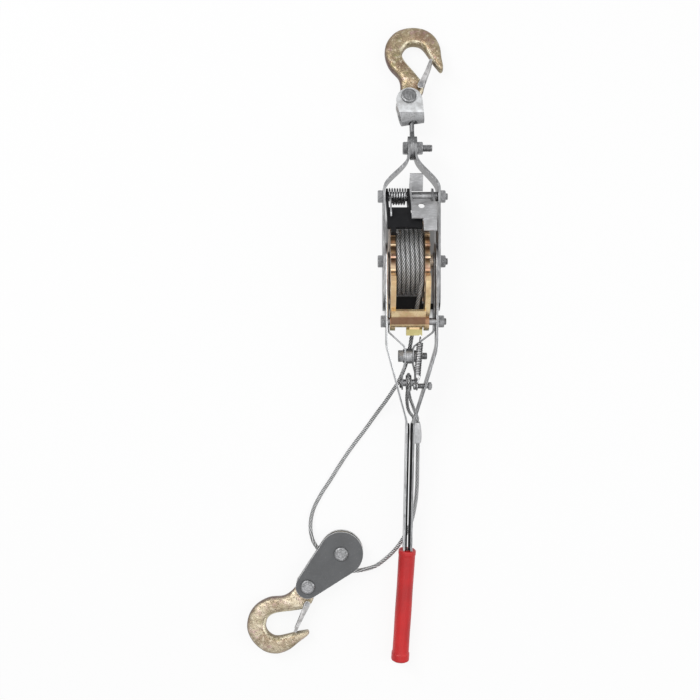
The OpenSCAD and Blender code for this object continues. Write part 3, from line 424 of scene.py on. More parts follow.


# %% [markdown]
# The hooks were dropped in a die and then dipped. Their skin is lumpy at a few millimetres and
# pitted below that, and the chromate on it runs from olive to straw, with purple and green where
# the film is thickest. Shade is painted down the back of each hook and at the edge of its throat,
# and a highlight along the throat's lip. All of that is bump and colour. The hook's own swell is in
# its mesh.

# %% Forged hook
def forged(name, warm, pale, pink):
    """A forging's skin: darker and paler chromate, its thick film's tint, painted shade and highlight."""
    recipe = Recipe(name)
    drift = recipe.noise(0.024, detail=2, rough=0.5)
    film = recipe.noise(0.010, detail=3, rough=0.6)
    lumps = recipe.noise(0.0042, detail=3, rough=0.6)
    pits = recipe.cells(0.0019)
    side = recipe.attribute("side", out="Fac")
    lip_highlight = side.between(0.62, 0.80) * (1 - side.between(0.90, 0.97))
    colour = recipe.layered(
        warm, (drift.between(0.36, 0.64), pale),
        (film.between(0.54, 0.68) * 0.6, pink),
        ((1 - film).between(0.56, 0.70) * 0.5, (0.22, 0.21, 0.09)),
        (lumps.between(0.50, 0.74) * 0.45, (0.78, 0.72, 0.58)),
        ((1 - lumps).between(0.50, 0.70) * 0.65, (0.17, 0.12, 0.08)),
        # Painted shade down the hook's back and a dark line at the throat's edge, and a painted highlight
        # along the throat's lip.
        ((0 - side).between(0.80, 0.97) * 0.7, (0.10, 0.06, 0.065)),
        (lip_highlight * film.between(0.3, 0.6) * 0.8, (0.88, 0.82, 0.62)),
        (side.between(0.95, 0.99) * 0.5, (0.20, 0.16, 0.09)))
    hammered = lumps * 0.55 + pits.between(0.1, 0.5) * 0.45
    return recipe.finish(Base_Color=colour, Metallic=0.8, Roughness=film * 0.2 + lumps * 0.2 + 0.2,
                         Normal=recipe.bump(hammered, 0.0009, 0.9))


top_hook_skin = forged("forged_bronze", (0.22, 0.145, 0.095), (0.33, 0.265, 0.165),
                       (0.32, 0.19, 0.195))
block_hook_skin = forged("forged_straw", (0.27, 0.21, 0.14), (0.44, 0.375, 0.27),
                         (0.52, 0.34, 0.34))


# %% [markdown]
# Black and grey paint are nearly the same recipe: an even coat with orange peel, dust, and bare
# patches on the rounded edges, which are worn paint and partly a painted highlight. The grip is
# vinyl that was dipped, so it is glossy, thick and slightly wavy.

# %% Paints, vinyl and bronze
def paint(name, coat, scuff, rough, amount, gloss=0.4, bare_and_highlight=0.0):
    """A painted steel with a fine peel, lighter scuffs and dust; bright rims are wear and painted
    highlight.
    """
    recipe = Recipe(name)
    peel = recipe.noise(0.0011, detail=2, rough=0.5)
    cloud = recipe.noise(0.016, detail=5, rough=0.65)
    speck = recipe.noise(0.0013, detail=6, rough=0.8)
    colour = recipe.layered(
        coat, (cloud.between(0.35, 0.7) * 0.5, tuple(c * 1.35 + 0.006 for c in coat)),
        (speck.between(0.60, 0.72) * amount, scuff),
        # Bright rounded edges: bare steel where the paint wore, and partly a painted highlight.
        (recipe.attribute("rim", out="Fac") * cloud.between(0.25, 0.5) * bare_and_highlight, (0.80, 0.80, 0.80)))
    return recipe.finish(Base_Color=colour, Metallic=0.0, Specular_IOR_Level=gloss,
                         Roughness=cloud * 0.25 + speck * 0.15 + (rough - 0.2),
                         Normal=recipe.bump(peel * 0.7 + speck * 0.3, 0.00006, 0.5))


black_paint = paint("black_paint", (0.006, 0.006, 0.007), (0.10, 0.10, 0.10), 0.50, 0.30, gloss=0.12)
block_paint = paint("grey_block_paint", (0.090, 0.092, 0.095), (0.62, 0.62, 0.63), 0.46, 0.75,
                    gloss=0.3, bare_and_highlight=0.85)
rivet_steel = zinc("rivet_steel", 0.24, 0.36, dark=0.5)
bronze = zinc("sintered_bronze", 0.42, 0.5, dark=0.7, warm=0.22)


def dipped_vinyl():
    recipe = Recipe("red_vinyl")
    cloud = recipe.noise(0.03, detail=3, rough=0.55)
    skin = recipe.noise(0.0035, detail=2, rough=0.5)
    dust = recipe.noise(0.0022, detail=6, rough=0.75)
    colour = recipe.layered(
        (0.40, 0.004, 0.005), (cloud.between(0.3, 0.7), (0.54, 0.008, 0.009)),
        (dust.between(0.66, 0.80) * 0.25, (0.70, 0.16, 0.14)))
    return recipe.finish(Base_Color=colour, Roughness=cloud * 0.14 + dust * 0.12 + 0.34,
                         Coat_Weight=0.04, Normal=recipe.bump(skin, 0.00012, 0.5))


grip_vinyl = dipped_vinyl()


# %% [markdown]
# ## Laid wire rope
#
# A wire rope is six strands laid round a core, and each strand is itself a twist of thin wires.
# The strands are real shapes: the same helix, repeated at six phases. The wires inside each
# strand are far too thin to model, so they are bump, drawn from the two numbers that the mesh
# keeps for each point: how far along the strand it is and where round the strand it sits.
#
# Geometry Nodes does the laying. It takes the rope's route, resamples it, makes the copies,
# pushes each one out from the middle line by an angle that grows with length, and sweeps a small
# circle along the result.

# %% A small writer for Geometry Nodes graphs
class Graph:
    """A Geometry Nodes tree with typed, named inputs."""

    def __init__(self, name, inputs):
        self.tree = bpy.data.node_groups.new(name, "GeometryNodeTree")
        face = self.tree.interface
        face.new_socket("Geometry", in_out="INPUT", socket_type="NodeSocketGeometry")
        face.new_socket("Geometry", in_out="OUTPUT", socket_type="NodeSocketGeometry")
        self.ids = {}
        for label, kind in inputs.items():
            item = face.new_socket(label, in_out="INPUT", socket_type="NodeSocket" + kind)
            self.ids[label] = item.identifier
        self.source = self.tree.nodes.new("NodeGroupInput")
        self.sink = self.tree.nodes.new("NodeGroupOutput")

    def input(self, label):
        return self.source.outputs[label]

    def node(self, kind, settings, out, **sockets):
        """A node of that kind with its settings, then its sockets by name."""
        new = self.tree.nodes.new(kind)
        for key, setting in settings.items():
            setattr(new, key, setting)
        for key, value in sockets.items():
            name = key.replace("_", " ")
            numbered = key[0] == "i" and key[1:].isdigit()
            socket = new.inputs[int(key[1:]) if numbered else name]
            if isinstance(value, bpy.types.NodeSocket):
                self.tree.links.new(value, socket)
            else:
                socket.default_value = value
        return new.outputs[out]

    def maths(self, operation, a, b=0.0):
        return self.node("ShaderNodeMath", {"operation": operation}, 0, i0=a, i1=b)

    def vector(self, operation, a, b):
        return self.node("ShaderNodeVectorMath", {"operation": operation}, 0, i0=a, i1=b)

    def scaled(self, vector, factor):
        return self.node("ShaderNodeVectorMath", {"operation": "SCALE"}, 0, i0=vector, Scale=factor)

    def store(self, geometry, name, kind, value):
        return self.node("GeometryNodeStoreNamedAttribute", {"data_type": kind, "domain": "POINT"},
                         0, Geometry=geometry, Name=name, Value=value)

    def position(self):
        return self.node("GeometryNodeInputPosition", {}, 0)

    def stored(self, name, kind="FLOAT"):
        return self.node("GeometryNodeInputNamedAttribute", {"data_type": kind}, 0, Name=name)

    def finish(self, geometry):
        """End in Realize Instances and Set Material."""
        solid = self.node("GeometryNodeRealizeInstances", {}, 0, Geometry=geometry)
        dressed = self.node("GeometryNodeSetMaterial", {}, 0, Geometry=solid,
                            Material=self.input("Material"))
        self.tree.links.new(dressed, self.sink.inputs[0])
        return self.tree


def grow(name, source_data, graph, values, material):
    """Run a graph on some data, keep the mesh that comes out, and drop the modifier."""
    carrier = placed(name + "_source", source_data)
    modifier = carrier.modifiers.new("grow", "NODES")
    modifier.node_group = graph.tree
    for label, value in values.items():
        modifier[graph.ids[label]] = value
    modifier[graph.ids["Material"]] = material
    bpy.context.view_layer.update()
    evaluated = carrier.evaluated_get(bpy.context.evaluated_depsgraph_get())
    mesh = bpy.data.meshes.new_from_object(evaluated)
    mesh.name = name
    bpy.data.objects.remove(carrier)
    mesh.shade_smooth()
    return placed(name, mesh)


# %% The rope layer's graph
def rope_layer():
    graph = Graph("rope_layer", {"Strands": "Int", "Radius": "Float", "Lay length": "Float",
                                 "Strand radius": "Float", "Spacing": "Float", "Sides": "Int",
                                 "Phase": "Float", "Material": "Material"})
    even = graph.node("GeometryNodeResampleCurve", {"mode": "LENGTH"}, 0,
                      Curve=graph.input("Geometry"), Length=graph.input("Spacing"))
    along = graph.node("GeometryNodeSplineParameter", {}, "Length")
    kept = graph.store(even, "along", "FLOAT", along)
    kept = graph.store(kept, "middle", "FLOAT_VECTOR", graph.position())
    copies_node = graph.tree.nodes.new("GeometryNodeDuplicateElements")
    copies_node.domain = "SPLINE"
    graph.tree.links.new(kept, copies_node.inputs["Geometry"])
    graph.tree.links.new(graph.input("Strands"), copies_node.inputs["Amount"])
    which = graph.store(copies_node.outputs[0], "strand", "FLOAT",
                        copies_node.outputs["Duplicate Index"])
    turn = graph.maths("DIVIDE", graph.stored("along"), graph.input("Lay length"))
    share = graph.maths("DIVIDE", graph.stored("strand"), graph.input("Strands"))
    turns = graph.maths("ADD", graph.maths("ADD", turn, share), graph.input("Phase"))
    angle = graph.maths("MULTIPLY", turns, 2 * math.pi)
    normal = graph.node("GeometryNodeInputNormal", {}, 0)
    tangent = graph.node("GeometryNodeInputTangent", {}, 0)
    side = graph.vector("CROSS_PRODUCT", tangent, normal)
    push = graph.vector("ADD", graph.scaled(normal, graph.maths("COSINE", angle)),
                        graph.scaled(side, graph.maths("SINE", angle)))
    moved = graph.node("GeometryNodeSetPosition", {}, 0, Geometry=which,
                       Offset=graph.scaled(push, graph.input("Radius")))
    ring = graph.node("GeometryNodeCurvePrimitiveCircle", {"mode": "RADIUS"}, 0,
                      Resolution=graph.input("Sides"), Radius=graph.input("Strand radius"))
    marked = graph.store(ring, "section", "FLOAT_VECTOR", graph.position())
    swept = graph.node("GeometryNodeCurveToMesh", {}, 0, Curve=moved, Profile_Curve=marked,
                       Fill_Caps=True)
    # crown: how far a point lies from the rope's middle line; the wire finish paints the low parts dark as
    # shade.
    away = graph.vector("SUBTRACT", graph.position(), graph.stored("middle", "FLOAT_VECTOR"))
    reach = graph.node("ShaderNodeVectorMath", {"operation": "LENGTH"}, "Value", i0=away)
    full = graph.maths("ADD", graph.input("Radius"), graph.input("Strand radius"))
    graph.finish(graph.store(swept, "crown", "FLOAT", graph.maths("DIVIDE", reach, full)))
    return graph


ROPE_LAYER = rope_layer()


def route(name, points):
    """A curve through points, to lay a rope on."""
    data = bpy.data.curves.new(name, "CURVE")
    data.dimensions = "3D"
    data.twist_mode = "MINIMUM"
    spline = data.splines.new("POLY")
    spline.points.add(len(points) - 1)
    for spot, point in zip(spline.points, points):
        spot.co = (*point, 1)
    return data


def join(name, parts):
    """One object from several, all unturned at the origin."""
    mesh = bmesh.new()
    first = parts[0].data
    for part in parts:
        mesh.from_mesh(part.data)
    data = bpy.data.meshes.new(name)
    mesh.to_mesh(data)
    mesh.free()
    for material in first.materials:
        data.materials.append(material)
    data.shade_smooth()
    for part in parts:
        bpy.data.objects.remove(part)
    return placed(name, data)


def wire_rope(name, points, diameter, material, spacing=0.0011, sides=10, lay=5.6):
    """Six strands round a core, along points. A strand is a bit under a third of the rope."""
    strand = diameter / 6.3
    layers = []
    for part, count, radius, thick in (("core", 1, 0.0, strand * 1.25),
                                       ("lay", 6, diameter / 2 - strand, strand)):
        layers.append(grow(f"{name}_{part}", route(name, points), ROPE_LAYER,
                           {"Strands": count, "Radius": radius, "Lay length": diameter * lay,
                            "Strand radius": thick, "Spacing": spacing, "Sides": sides, "Phase": 0.0},
                           material))
    return join(name, layers)


# %% Wire rope finish
def wire_strand():
    """Fine wires laid the other way round each strand, with painted shade between the wires and strands."""
    recipe = Recipe("laid_wire")
    section = recipe.attribute("section")
    round_strand = recipe.split(section, "Y").angle_to(recipe.split(section, "X"))
    along = recipe.attribute("along", out="Fac")
    wires = (round_strand * 8 - along * 1900).sin()
    stain = recipe.noise(0.013, detail=4, rough=0.65)
    grit = recipe.noise(0.0012, detail=4, rough=0.7)
    crown = recipe.attribute("crown", out="Fac")
    colour = recipe.mix(stain.between(0.35, 0.65), (0.72, 0.72, 0.71), (0.93, 0.94, 0.95))
    colour = recipe.mix(grit.between(0.58, 0.78) * 0.4, colour, (0.30, 0.29, 0.28))
    # Painted shade: dark grooves between the wires, and near black in the valleys between the strands.
    colour = recipe.mix(wires.between(-1.0, 0.2), (0.30, 0.30, 0.30), colour)
    colour = recipe.mix(crown.between(0.86, 1.0), (0.025, 0.025, 0.027), colour)
    return recipe.finish(Base_Color=colour, Metallic=0.35,
                         Roughness=stain * 0.14 + grit * 0.14 + 0.24,
                         Normal=recipe.bump(wires * 0.5 + 0.5, 0.00010, 0.7))


laid_wire = wire_strand()


# %% [markdown]
# ## The routes
#
# The imported model lays its rope through lists of points, and the same points are used here. The
# free rope leaves the drum at a slant, passes under the tail sleeve, drops to the surface, runs to
# the pulley block, goes a quarter round its sheave and comes back to the ferrule. Its length
# decides how far the block can be drawn, so the script prints it. The winding's first end dips
# into the layers below it.

# %% Routes in metres
ROPE_D = 4.6
AXLE_Z = 45.0
LAY_R = 35.7
LAY_TURNS = 5.2
LAY_STEPS = 48
LAY_PITCH = 26.2 / LAY_TURNS
LAY_X1 = 10.4
TAIL_X = -2.2
SLEEVE_R = 8.5
SLEEVE_Y = -105.0
UNDER_R = SLEEVE_R + ROPE_D / 2 + 0.3
LEAVE_TILT = math.asin((LAY_R + UNDER_R) / -SLEEVE_Y)
LEAVE_ANGLE = math.pi / 2 + LEAVE_TILT
BLOCK_AT = Vector((-77.7, -329.1))


def smooth(points, steps):
    """Catmull-Rom through points, with steps points for each span."""
    points = [Vector(point) for point in points]
    path = []
    last = len(points) - 1
    for index in range(last):
        a = points[max(index - 1, 0)]
        b = points[index]
        c = points[index + 1]
        d = points[min(index + 2, last)]
        for step in range(steps):
            t = step / steps
            path.append(0.5 * (2 * b + (c - a) * t + (2 * a - 5 * b + 4 * c - d) * t * t
                               + (3 * b - a - 3 * c + d) * t ** 3))
    path.append(points[-1])
    return path


def length_of(path):
    """The length of a line through points."""
    return sum((b - a).length for a, b in zip(path, path[1:]))


def lay_point(turns, radius, further=0.0):
    """A point of the winding so many turns, and so many degrees further, before its end."""
    angle = LEAVE_ANGLE - 2 * math.pi * turns - math.radians(further)
    return mm(LAY_X1 - LAY_PITCH * turns, radius * math.cos(angle),
              AXLE_Z + radius * math.sin(angle))


lay_path = [lay_point(LAY_TURNS, LAY_R - sink, back)
            for back, sink in ((20, 6.4), (15, 3.8), (10, 1.7), (5, 0.4))]
lay_path += [lay_point(LAY_TURNS - step / LAY_STEPS, LAY_R)
             for step in range(int(LAY_TURNS * LAY_STEPS) + 1)]
lay_end = Vector((LAY_X1, LAY_R * math.cos(LEAVE_ANGLE), AXLE_Z + LAY_R * math.sin(LEAVE_ANGLE)))
leave_dir = Vector((0, -math.cos(LEAVE_TILT), -math.sin(LEAVE_TILT)))
rope_start = lay_end + leave_dir * ROPE_D
for label, at in (("winding ends", lay_end), ("free rope starts", rope_start)):
    print(label, [round(value, 2) for value in at])


# %% [markdown]
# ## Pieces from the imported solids
#
# Pressed sheet has no sharp edges, and an edge without a rounding never catches the light. The
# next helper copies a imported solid, welds its triangles, joins the flat ones into whole faces,
# rounds every corner, and then weighs the normals by area so that the flats stay flat.

# %% Helpers that make and register pieces
def piece(obj, node_names, material):
    """Give obj its finish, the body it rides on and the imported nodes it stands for."""
    if isinstance(node_names, str):
        node_names = [node_names]
    obj.data.materials.clear()
    obj.data.materials.append(material)
    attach(obj, body_of_node[node_names[0]])
    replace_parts(obj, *node_names)
    return obj


def object_from(name, mesh_builder):
    """An object at the origin, from a bmesh whose faces are turned outward."""
    bmesh.ops.recalc_face_normals(mesh_builder, faces=mesh_builder.faces)
    data = bpy.data.meshes.new(name)
    mesh_builder.to_mesh(data)
    mesh_builder.free()
    return placed(name, data)


def weigh_normals(data, limit=42):
    """Smooth shading that keeps large flat faces flat and angles over limit sharp."""
    cosine = math.cos(math.radians(limit))
    around = {}
    for face in data.polygons:
        face.use_smooth = True
        for vertex in face.vertices:
            around.setdefault(vertex, []).append((face.normal.copy(), face.area))
    normals = []
    for face in data.polygons:
        own = face.normal
        for vertex in face.vertices:
            total = Vector((0, 0, 0))
            for normal, area in around[vertex]:
                if normal.dot(own) > cosine:
                    total += normal * area
            normals.append(total.normalized() if total.length > 1e-12 else own.copy())
    data.normals_split_custom_set(normals)


def welded(node):
    """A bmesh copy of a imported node, welded and with its flat triangles joined."""
    mesh_builder = bmesh.new()
    mesh_builder.from_mesh(nodes[node].data)
    bmesh.ops.remove_doubles(mesh_builder, verts=mesh_builder.verts, dist=2e-6)
    bmesh.ops.dissolve_limit(mesh_builder, angle_limit=math.radians(0.6), verts=mesh_builder.verts,
                             edges=mesh_builder.edges)
    return mesh_builder


def rounded(node, width, material, slot, segments=2, corner=32):
    """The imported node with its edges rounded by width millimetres."""
    mesh_builder = welded(node)
    edges = [edge for edge in mesh_builder.edges
             if len(edge.link_faces) == 2 and edge.calc_face_angle(0) > math.radians(corner)]
    # The rounded faces are marked as rim. Zinc finishes paint a highlight on them; grey paint shows bare
    # steel there, partly a painted highlight.
    rim = mesh_builder.faces.layers.float.new("rim")
    cut = bmesh.ops.bevel(mesh_builder, geom=edges, offset=width * MM, offset_type="OFFSET",
                          segments=segments, profile=0.5, affect="EDGES", clamp_overlap=True)
    for face in cut["faces"]:
        face[rim] = 1.0
    bmesh.ops.remove_doubles(mesh_builder, verts=mesh_builder.verts, dist=1e-6)
    return finished(node + "_shape", mesh_builder, node, material)


def finished(name, mesh_builder, node, material, limit=42):
    """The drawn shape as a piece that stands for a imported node."""
    made = object_from(name, mesh_builder)
    weigh_normals(made.data, limit)
    return piece(made, node, material)


def loft(mesh_builder, rings):
    """Skin a list of rings, each a list of points in order, and cap both ends."""
    rows = [[mesh_builder.verts.new(point) for point in ring] for ring in rings]
    count = len(rows[0])
    for low, high in zip(rows, rows[1:]):
        for index in range(count):
            after = (index + 1) % count
            mesh_builder.faces.new((low[index], low[after], high[after], high[index]))
    mesh_builder.faces.new(rows[0][::-1])
    mesh_builder.faces.new(rows[-1])
    return rows


def lathe(mesh_builder, start, axis, profile, sides=32):
    """Turn a profile of (distance along the axis, radius) pairs in millimetres round an axis."""
    axis = Vector(axis).normalized()
    across = axis.orthogonal().normalized()
    other = axis.cross(across)
    rings = []
    for along, radius in profile:
        middle = Vector(start) + axis * along
        rings.append([(middle + (across * math.cos(a) + other * math.sin(a)) * radius) * MM
                      for a in (2 * math.pi * step / sides for step in range(sides))])
    loft(mesh_builder, rings)


# %% Sheet parts
SHEET_PARTS = (
    (("frame_plate_left", "frame_plate_right"), 0.5, zinc_plate, "zinc_plate", {}),
    (("tail_link_left", "tail_link_right"), 0.4, zinc_dull, "dull_zinc", {}),
    (("handle_strap_left", "handle_strap_right"), 0.6, zinc_plate, "zinc_plate", {}),
    (("release_lever",), 0.4, zinc_lever, "zinc_plate", {}),
    (("hook_yoke",), 0.9, yoke_zinc, "zinc_plate", {"segments": 3}),
    (("driving_pawl",), 0.6, pawl_zinc, "yellow_zinc", {}),
    (("stop_pawl",), 0.7, black_paint, "black_paint", {"segments": 3}),
    # The rope guard is a black sheet under the drum that stands in for the shade inside the frame: painted
    # shade.
    (("rope_guard",), 0.3, black_paint, "black_paint", {}),
    (("ratchet_wheel_left", "ratchet_wheel_right"), 0.45, yellow_zinc, "yellow_zinc", {"corner": 14}),
    (("block_plate_upper", "block_plate_lower"), 0.55, block_paint, "block_steel", {}),
    (("top_latch", "block_latch"), 0.25, latch_sheet, "latch_sheet", {}),
    (("swivel_eye",), 0.5, zinc_dull, "dull_zinc", {"segments": 3}),
    (("sheave",), 0.5, sheave_zinc, "sheave_steel", {}),
)
for names, edge, material, slot, options in SHEET_PARTS:
    for name in names:
        rounded(name, edge, material, slot, **options)


# %% The winding on the drum
winding = wire_rope("rope_winding_laid", lay_path + [rope_start * MM], ROPE_D * MM, laid_wire,
                    spacing=0.0012, sides=7)
piece(winding, ["rope_winding"], laid_wire)
print("winding faces:", len(winding.data.polygons))


# %% The free rope
rope_out = [(-7.4, -121, 28.5), (-13, -134, 24), (-19, -144, 19), (-28, -158, 11.5), (-38, -172, 5.5),
            (-50, -189, 2.6), (-68, -213, 2.4), (-80, -231, 2.4), (-90, -247, 2.4), (-101, -264, 2.4),
            (-110, -282, 3.2), (-113, -300, 5.5), (-109.5, -317, 9.2)]
WRAP_R = 20.3
rope_wrap = []
for step in range(9):
    angle = math.radians(190 + 90 * step / 8)
    rope_wrap.append((BLOCK_AT.x + WRAP_R * math.cos(angle),
                      BLOCK_AT.y + WRAP_R * math.sin(angle), 12))
rope_back = [(-60, -350, 11), (-40, -346, 6.5), (-26, -337, 3), (-14, -325, 2.4), (-4, -310, 2.4),
             (3, -294, 2.4), (7.5, -273, 2.4), (9.2, -254, 2.4), (9.6, -236, 2.6), (9.8, -221, 3.6)]
ferrule_low = Vector((10, -204.5, 5.4))
ferrule_top = Vector((9.4, -180, 11.4))
under_at = Vector((TAIL_X, SLEEVE_Y + UNDER_R * math.sin(LEAVE_TILT) - 3,
                   AXLE_Z - UNDER_R * math.cos(LEAVE_TILT) - 1.2))
run_points = [rope_start + leave_dir * ROPE_D, (rope_start + under_at) / 2, under_at,
              *rope_out, *rope_wrap, *rope_back, ferrule_low]
run_path = [point * MM for point in [rope_start] + smooth(run_points, 6)]
run_length = length_of(run_path)
free_rope = wire_rope("free_rope", run_path, ROPE_D * MM, laid_wire, sides=8)
free_rope.data.materials.clear()
free_rope.data.materials.append(laid_wire)
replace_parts(free_rope, "rope_run")
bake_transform(free_rope)
print("free rope length:", round(run_length, 4), "m")


# %% [markdown]
# ## Forged hooks
#
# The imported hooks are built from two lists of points, one down the back and one down the throat,
# with a straight sided section between. The drawn hooks use the same two lists. Their section is
# a rounded one, it gets thinner beside the yoke, and the surface is lumpy where the die left it.

# %% Hook mesh
HOOK_BACK = [(-12, 3), (-10.6, 13), (-14.5, 26), (-26.5, 38), (-33, 53), (-32.2, 68), (-24, 81.5),
             (-9.5, 88.8), (7, 89.2), (20, 82.5), (28, 70.5), (31.4, 57), (34.2, 47), (34.8, 41.8)]
BOWL_V = 56.0
BOWL_R = 13.3
HOOK_HALF = 8.0
EYE_HALF = 5.7
HOOK_THROAT = [(12.3, 3), (15.6, 13.5), (13, 22.5), (4.5, 32.5)]
for angle in (225, 180, 137, 106, 72, 43):
    HOOK_THROAT.append((BOWL_R * math.cos(math.radians(angle)),
                        BOWL_V + BOWL_R * math.sin(math.radians(angle))))
HOOK_THROAT += [(16.4, 57.2), (22.8, 49), (29.4, 41.8), (31.6, 39.9)]
SECTION = 28
SECTION_SQUARE = 2.9
SPAN_STEPS = 9
TIP_SPAN = 0.35


def ease(value, low, high):
    t = min(max((value - low) / (high - low), 0.0), 1.0)
    return t * t * (3 - 2 * t)


def squared(angle, power=3.0):
    """A point on a square with round corners, one unit each way."""
    c, s = math.cos(angle), math.sin(angle)
    return math.copysign(abs(c) ** (2 / power), c), math.copysign(abs(s) ** (2 / power), s)


def hook_shape(name, place):
    """The hook, with place turning its own (u, v, w) in millimetres into metres in the frame."""
    back = smooth([(u, v, 0) for u, v in HOOK_BACK], SPAN_STEPS)
    throat = smooth([(u, v, 0) for u, v in HOOK_THROAT], SPAN_STEPS)
    rings = []
    for index, (b, t) in enumerate(zip(back, throat)):
        middle = (b + t) / 2
        half_width = (t - b) / 2
        share = min(1.0, half_width.length / 7)
        half_height = HOOK_HALF * (0.5 + share / 2)
        half_height = EYE_HALF + (half_height - EYE_HALF) * ease(middle.length, 15.0, 25.0)
        left = (len(back) - 1 - index) / SPAN_STEPS
        closing = 1.0 if left > TIP_SPAN else 0.72 + 0.28 * math.sqrt(left / TIP_SPAN)
        ring = []
        for step in range(SECTION):
            across, up = squared(2 * math.pi * step / SECTION, SECTION_SQUARE)
            spot = middle + half_width * across * closing
            ring.append(place @ mm(spot.x, spot.y, up * half_height * closing))
        rings.append(ring)
    body = bmesh.new()
    # side runs from the hook's back (-1) to its throat (+1); the hook finish paints shade and a highlight
    # by it.
    side = body.verts.layers.float.new("side")
    for row in loft(body, rings):
        for step, vertex in enumerate(row):
            vertex[side] = squared(2 * math.pi * step / SECTION, SECTION_SQUARE)[0]
    profile = [(-EYE_HALF, 9.9), (-EYE_HALF, 10.6), (-EYE_HALF + 0.5, 11.8), (-EYE_HALF + 1.6, 12.45),
               (EYE_HALF - 1.6, 12.45), (EYE_HALF - 0.5, 11.8), (EYE_HALF, 10.6), (EYE_HALF, 9.9)]
    lower = place.translation
    axis = (place @ mm(0, 0, 1) - lower).normalized()
    lathe(body, lower / MM, axis, profile, sides=40)
    made = object_from(name, body)
    made.data.shade_smooth()
    return made


def frame_of(origin, u_axis, v_axis):
    """The transform from a hook's own axes to the frame."""
    u = Vector(u_axis).normalized()
    v = Vector(v_axis).normalized()
    w = u.cross(v)
    turned = Matrix((u, v, w)).transposed().to_4x4()
    return Matrix.Translation(mm(*origin)) @ turned


# %% Both hooks
YOKE_PIN_AT = Vector((-2.117, 181.853, 29.991))
HOOK_RIVET_AT = Vector((-115.502, -366.248))
top_place = frame_of(YOKE_PIN_AT, (0.9925, -0.1178, 0.0314), (0.1219, 0.959, -0.2559))
block_place = frame_of((*HOOK_RIVET_AT, 12), (0.788, -0.6157, 0), (-0.6157, -0.788, 0))
piece(hook_shape("top_hook_forging", top_place), "top_hook", top_hook_skin)
piece(hook_shape("block_hook_forging", block_place), "block_hook", block_hook_skin)


# %% [markdown]
# ## Bolts, nuts and rivets
#
# A hex head is turned before it is pressed, so a cone cuts its corners. The thread is drawn as
# close rings. Rivet heads are hammered flat: a low dome with a ring where the tool stopped.

# %% Hex bolts and nuts
HEX_R = 7.5
BOLT_R = 4.0
BOLT_SIDES = 28
HEAD_T = 5.3
HEX_STEPS = 36
CONE_RISE = 1.1
X_AXIS = (1, 0, 0)
Z_AXIS = (0, 0, 1)


def along_x(node):
    """Both ends and the axis (x0, x1, y, z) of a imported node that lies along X, in millimetres."""
    low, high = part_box(node)
    return low[0] / MM, high[0] / MM, (low[1] + high[1]) / 2 / MM, (low[2] + high[2]) / 2 / MM


def hexagon(mesh_builder, x0, x1, y, z, radius, cut_high=True):
    """A hex prism along X. A cone cuts its lower end, and with cut_high its upper one too."""
    flat = radius * math.cos(math.pi / 6)
    cone = [(0, flat - 0.25), (CONE_RISE * 0.35, flat + 0.35), (CONE_RISE, radius)]
    stations = [(x0 + along, limit) for along, limit in cone]
    stations += [(x1 - along, limit) for along, limit in reversed(cone)] if cut_high else [(x1, radius)]
    rings = []
    for x, limit in stations:
        ring = []
        for step in range(HEX_STEPS):
            angle = 2 * math.pi * step / HEX_STEPS
            to_flat = (angle % (math.pi / 3)) - math.pi / 6
            reach = min(flat / math.cos(to_flat), limit)
            ring.append(mm(x, y + reach * math.sin(angle), z + reach * math.cos(angle)))
        rings.append(ring)
    loft(mesh_builder, rings)


def thread(x0, x1, radius=BOLT_R, pitch=1.25, cut=0.55):
    """The profile of a thread's rings from x0 to x1, with a turned end."""
    profile = [(x0, radius - cut)]
    x = x0
    while x < x1 - pitch:
        profile += [(x + pitch * 0.30, radius - 0.05), (x + pitch * 0.55, radius - 0.05),
                    (x + pitch * 0.95, radius - cut)]
        x += pitch
    return profile + [(x1 - 0.5, radius - 0.2), (x1, radius - 0.9)]


def hex_bolt(node, threaded, washer=None):
    """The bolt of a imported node: head at low X, shank, and a thread of the given length."""
    x0, x1, y, z = along_x(node)
    body = bmesh.new()
    hexagon(body, x0, x0 + HEAD_T, y, z, HEX_R, cut_high=False)
    lathe(body, (x0 - 0.01, y, z), X_AXIS, [(0, 0.1), (0, 4.1), (0.35, 4.6), (0.45, 4.7)],
          sides=BOLT_SIDES)
    lathe(body, (0, y, z), X_AXIS,
          [(x0 + HEAD_T - 0.3, BOLT_R), (x1 - threaded, BOLT_R)] + thread(x1 - threaded, x1),
          sides=BOLT_SIDES)
    if washer:
        thick, radius = washer
        lathe(body, (x0 + HEAD_T, y, z), X_AXIS,
              [(0.02, radius - 0.3), (0.2, radius), (thick - 0.2, radius), (thick - 0.02, radius - 0.3)])
    return finished(node + "_turned", body, node, zinc_bolt)


def hex_nut(node, radius=HEX_R):
    """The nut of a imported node."""
    body = bmesh.new()
    hexagon(body, *along_x(node), radius)
    return finished(node + "_turned", body, node, zinc_bolt)


for bolt_name, threaded, washer in (("upper_cross_bolt", 10, None), ("axle_bolt", 10, None),
                                    ("pawl_bolt", 10, None), ("top_bolt", 16, None),
                                    ("tail_bolt", 13, (1.4, 7.6))):
    hex_bolt(bolt_name, threaded, washer=washer)
for nut_name in ("upper_bolt_nut", "axle_nut", "pawl_nut", "top_bolt_nut", "tail_nut"):
    hex_nut(nut_name)
hex_nut("spring_anchor_nut", radius=5.0)


def turned_along_x(node, profile):
    """A round part along X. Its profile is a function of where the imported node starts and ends."""
    x0, x1, y, z = along_x(node)
    body = bmesh.new()
    lathe(body, (0, y, z), X_AXIS, profile(x0, x1))
    return finished(node + "_turned", body, node, zinc_bolt)


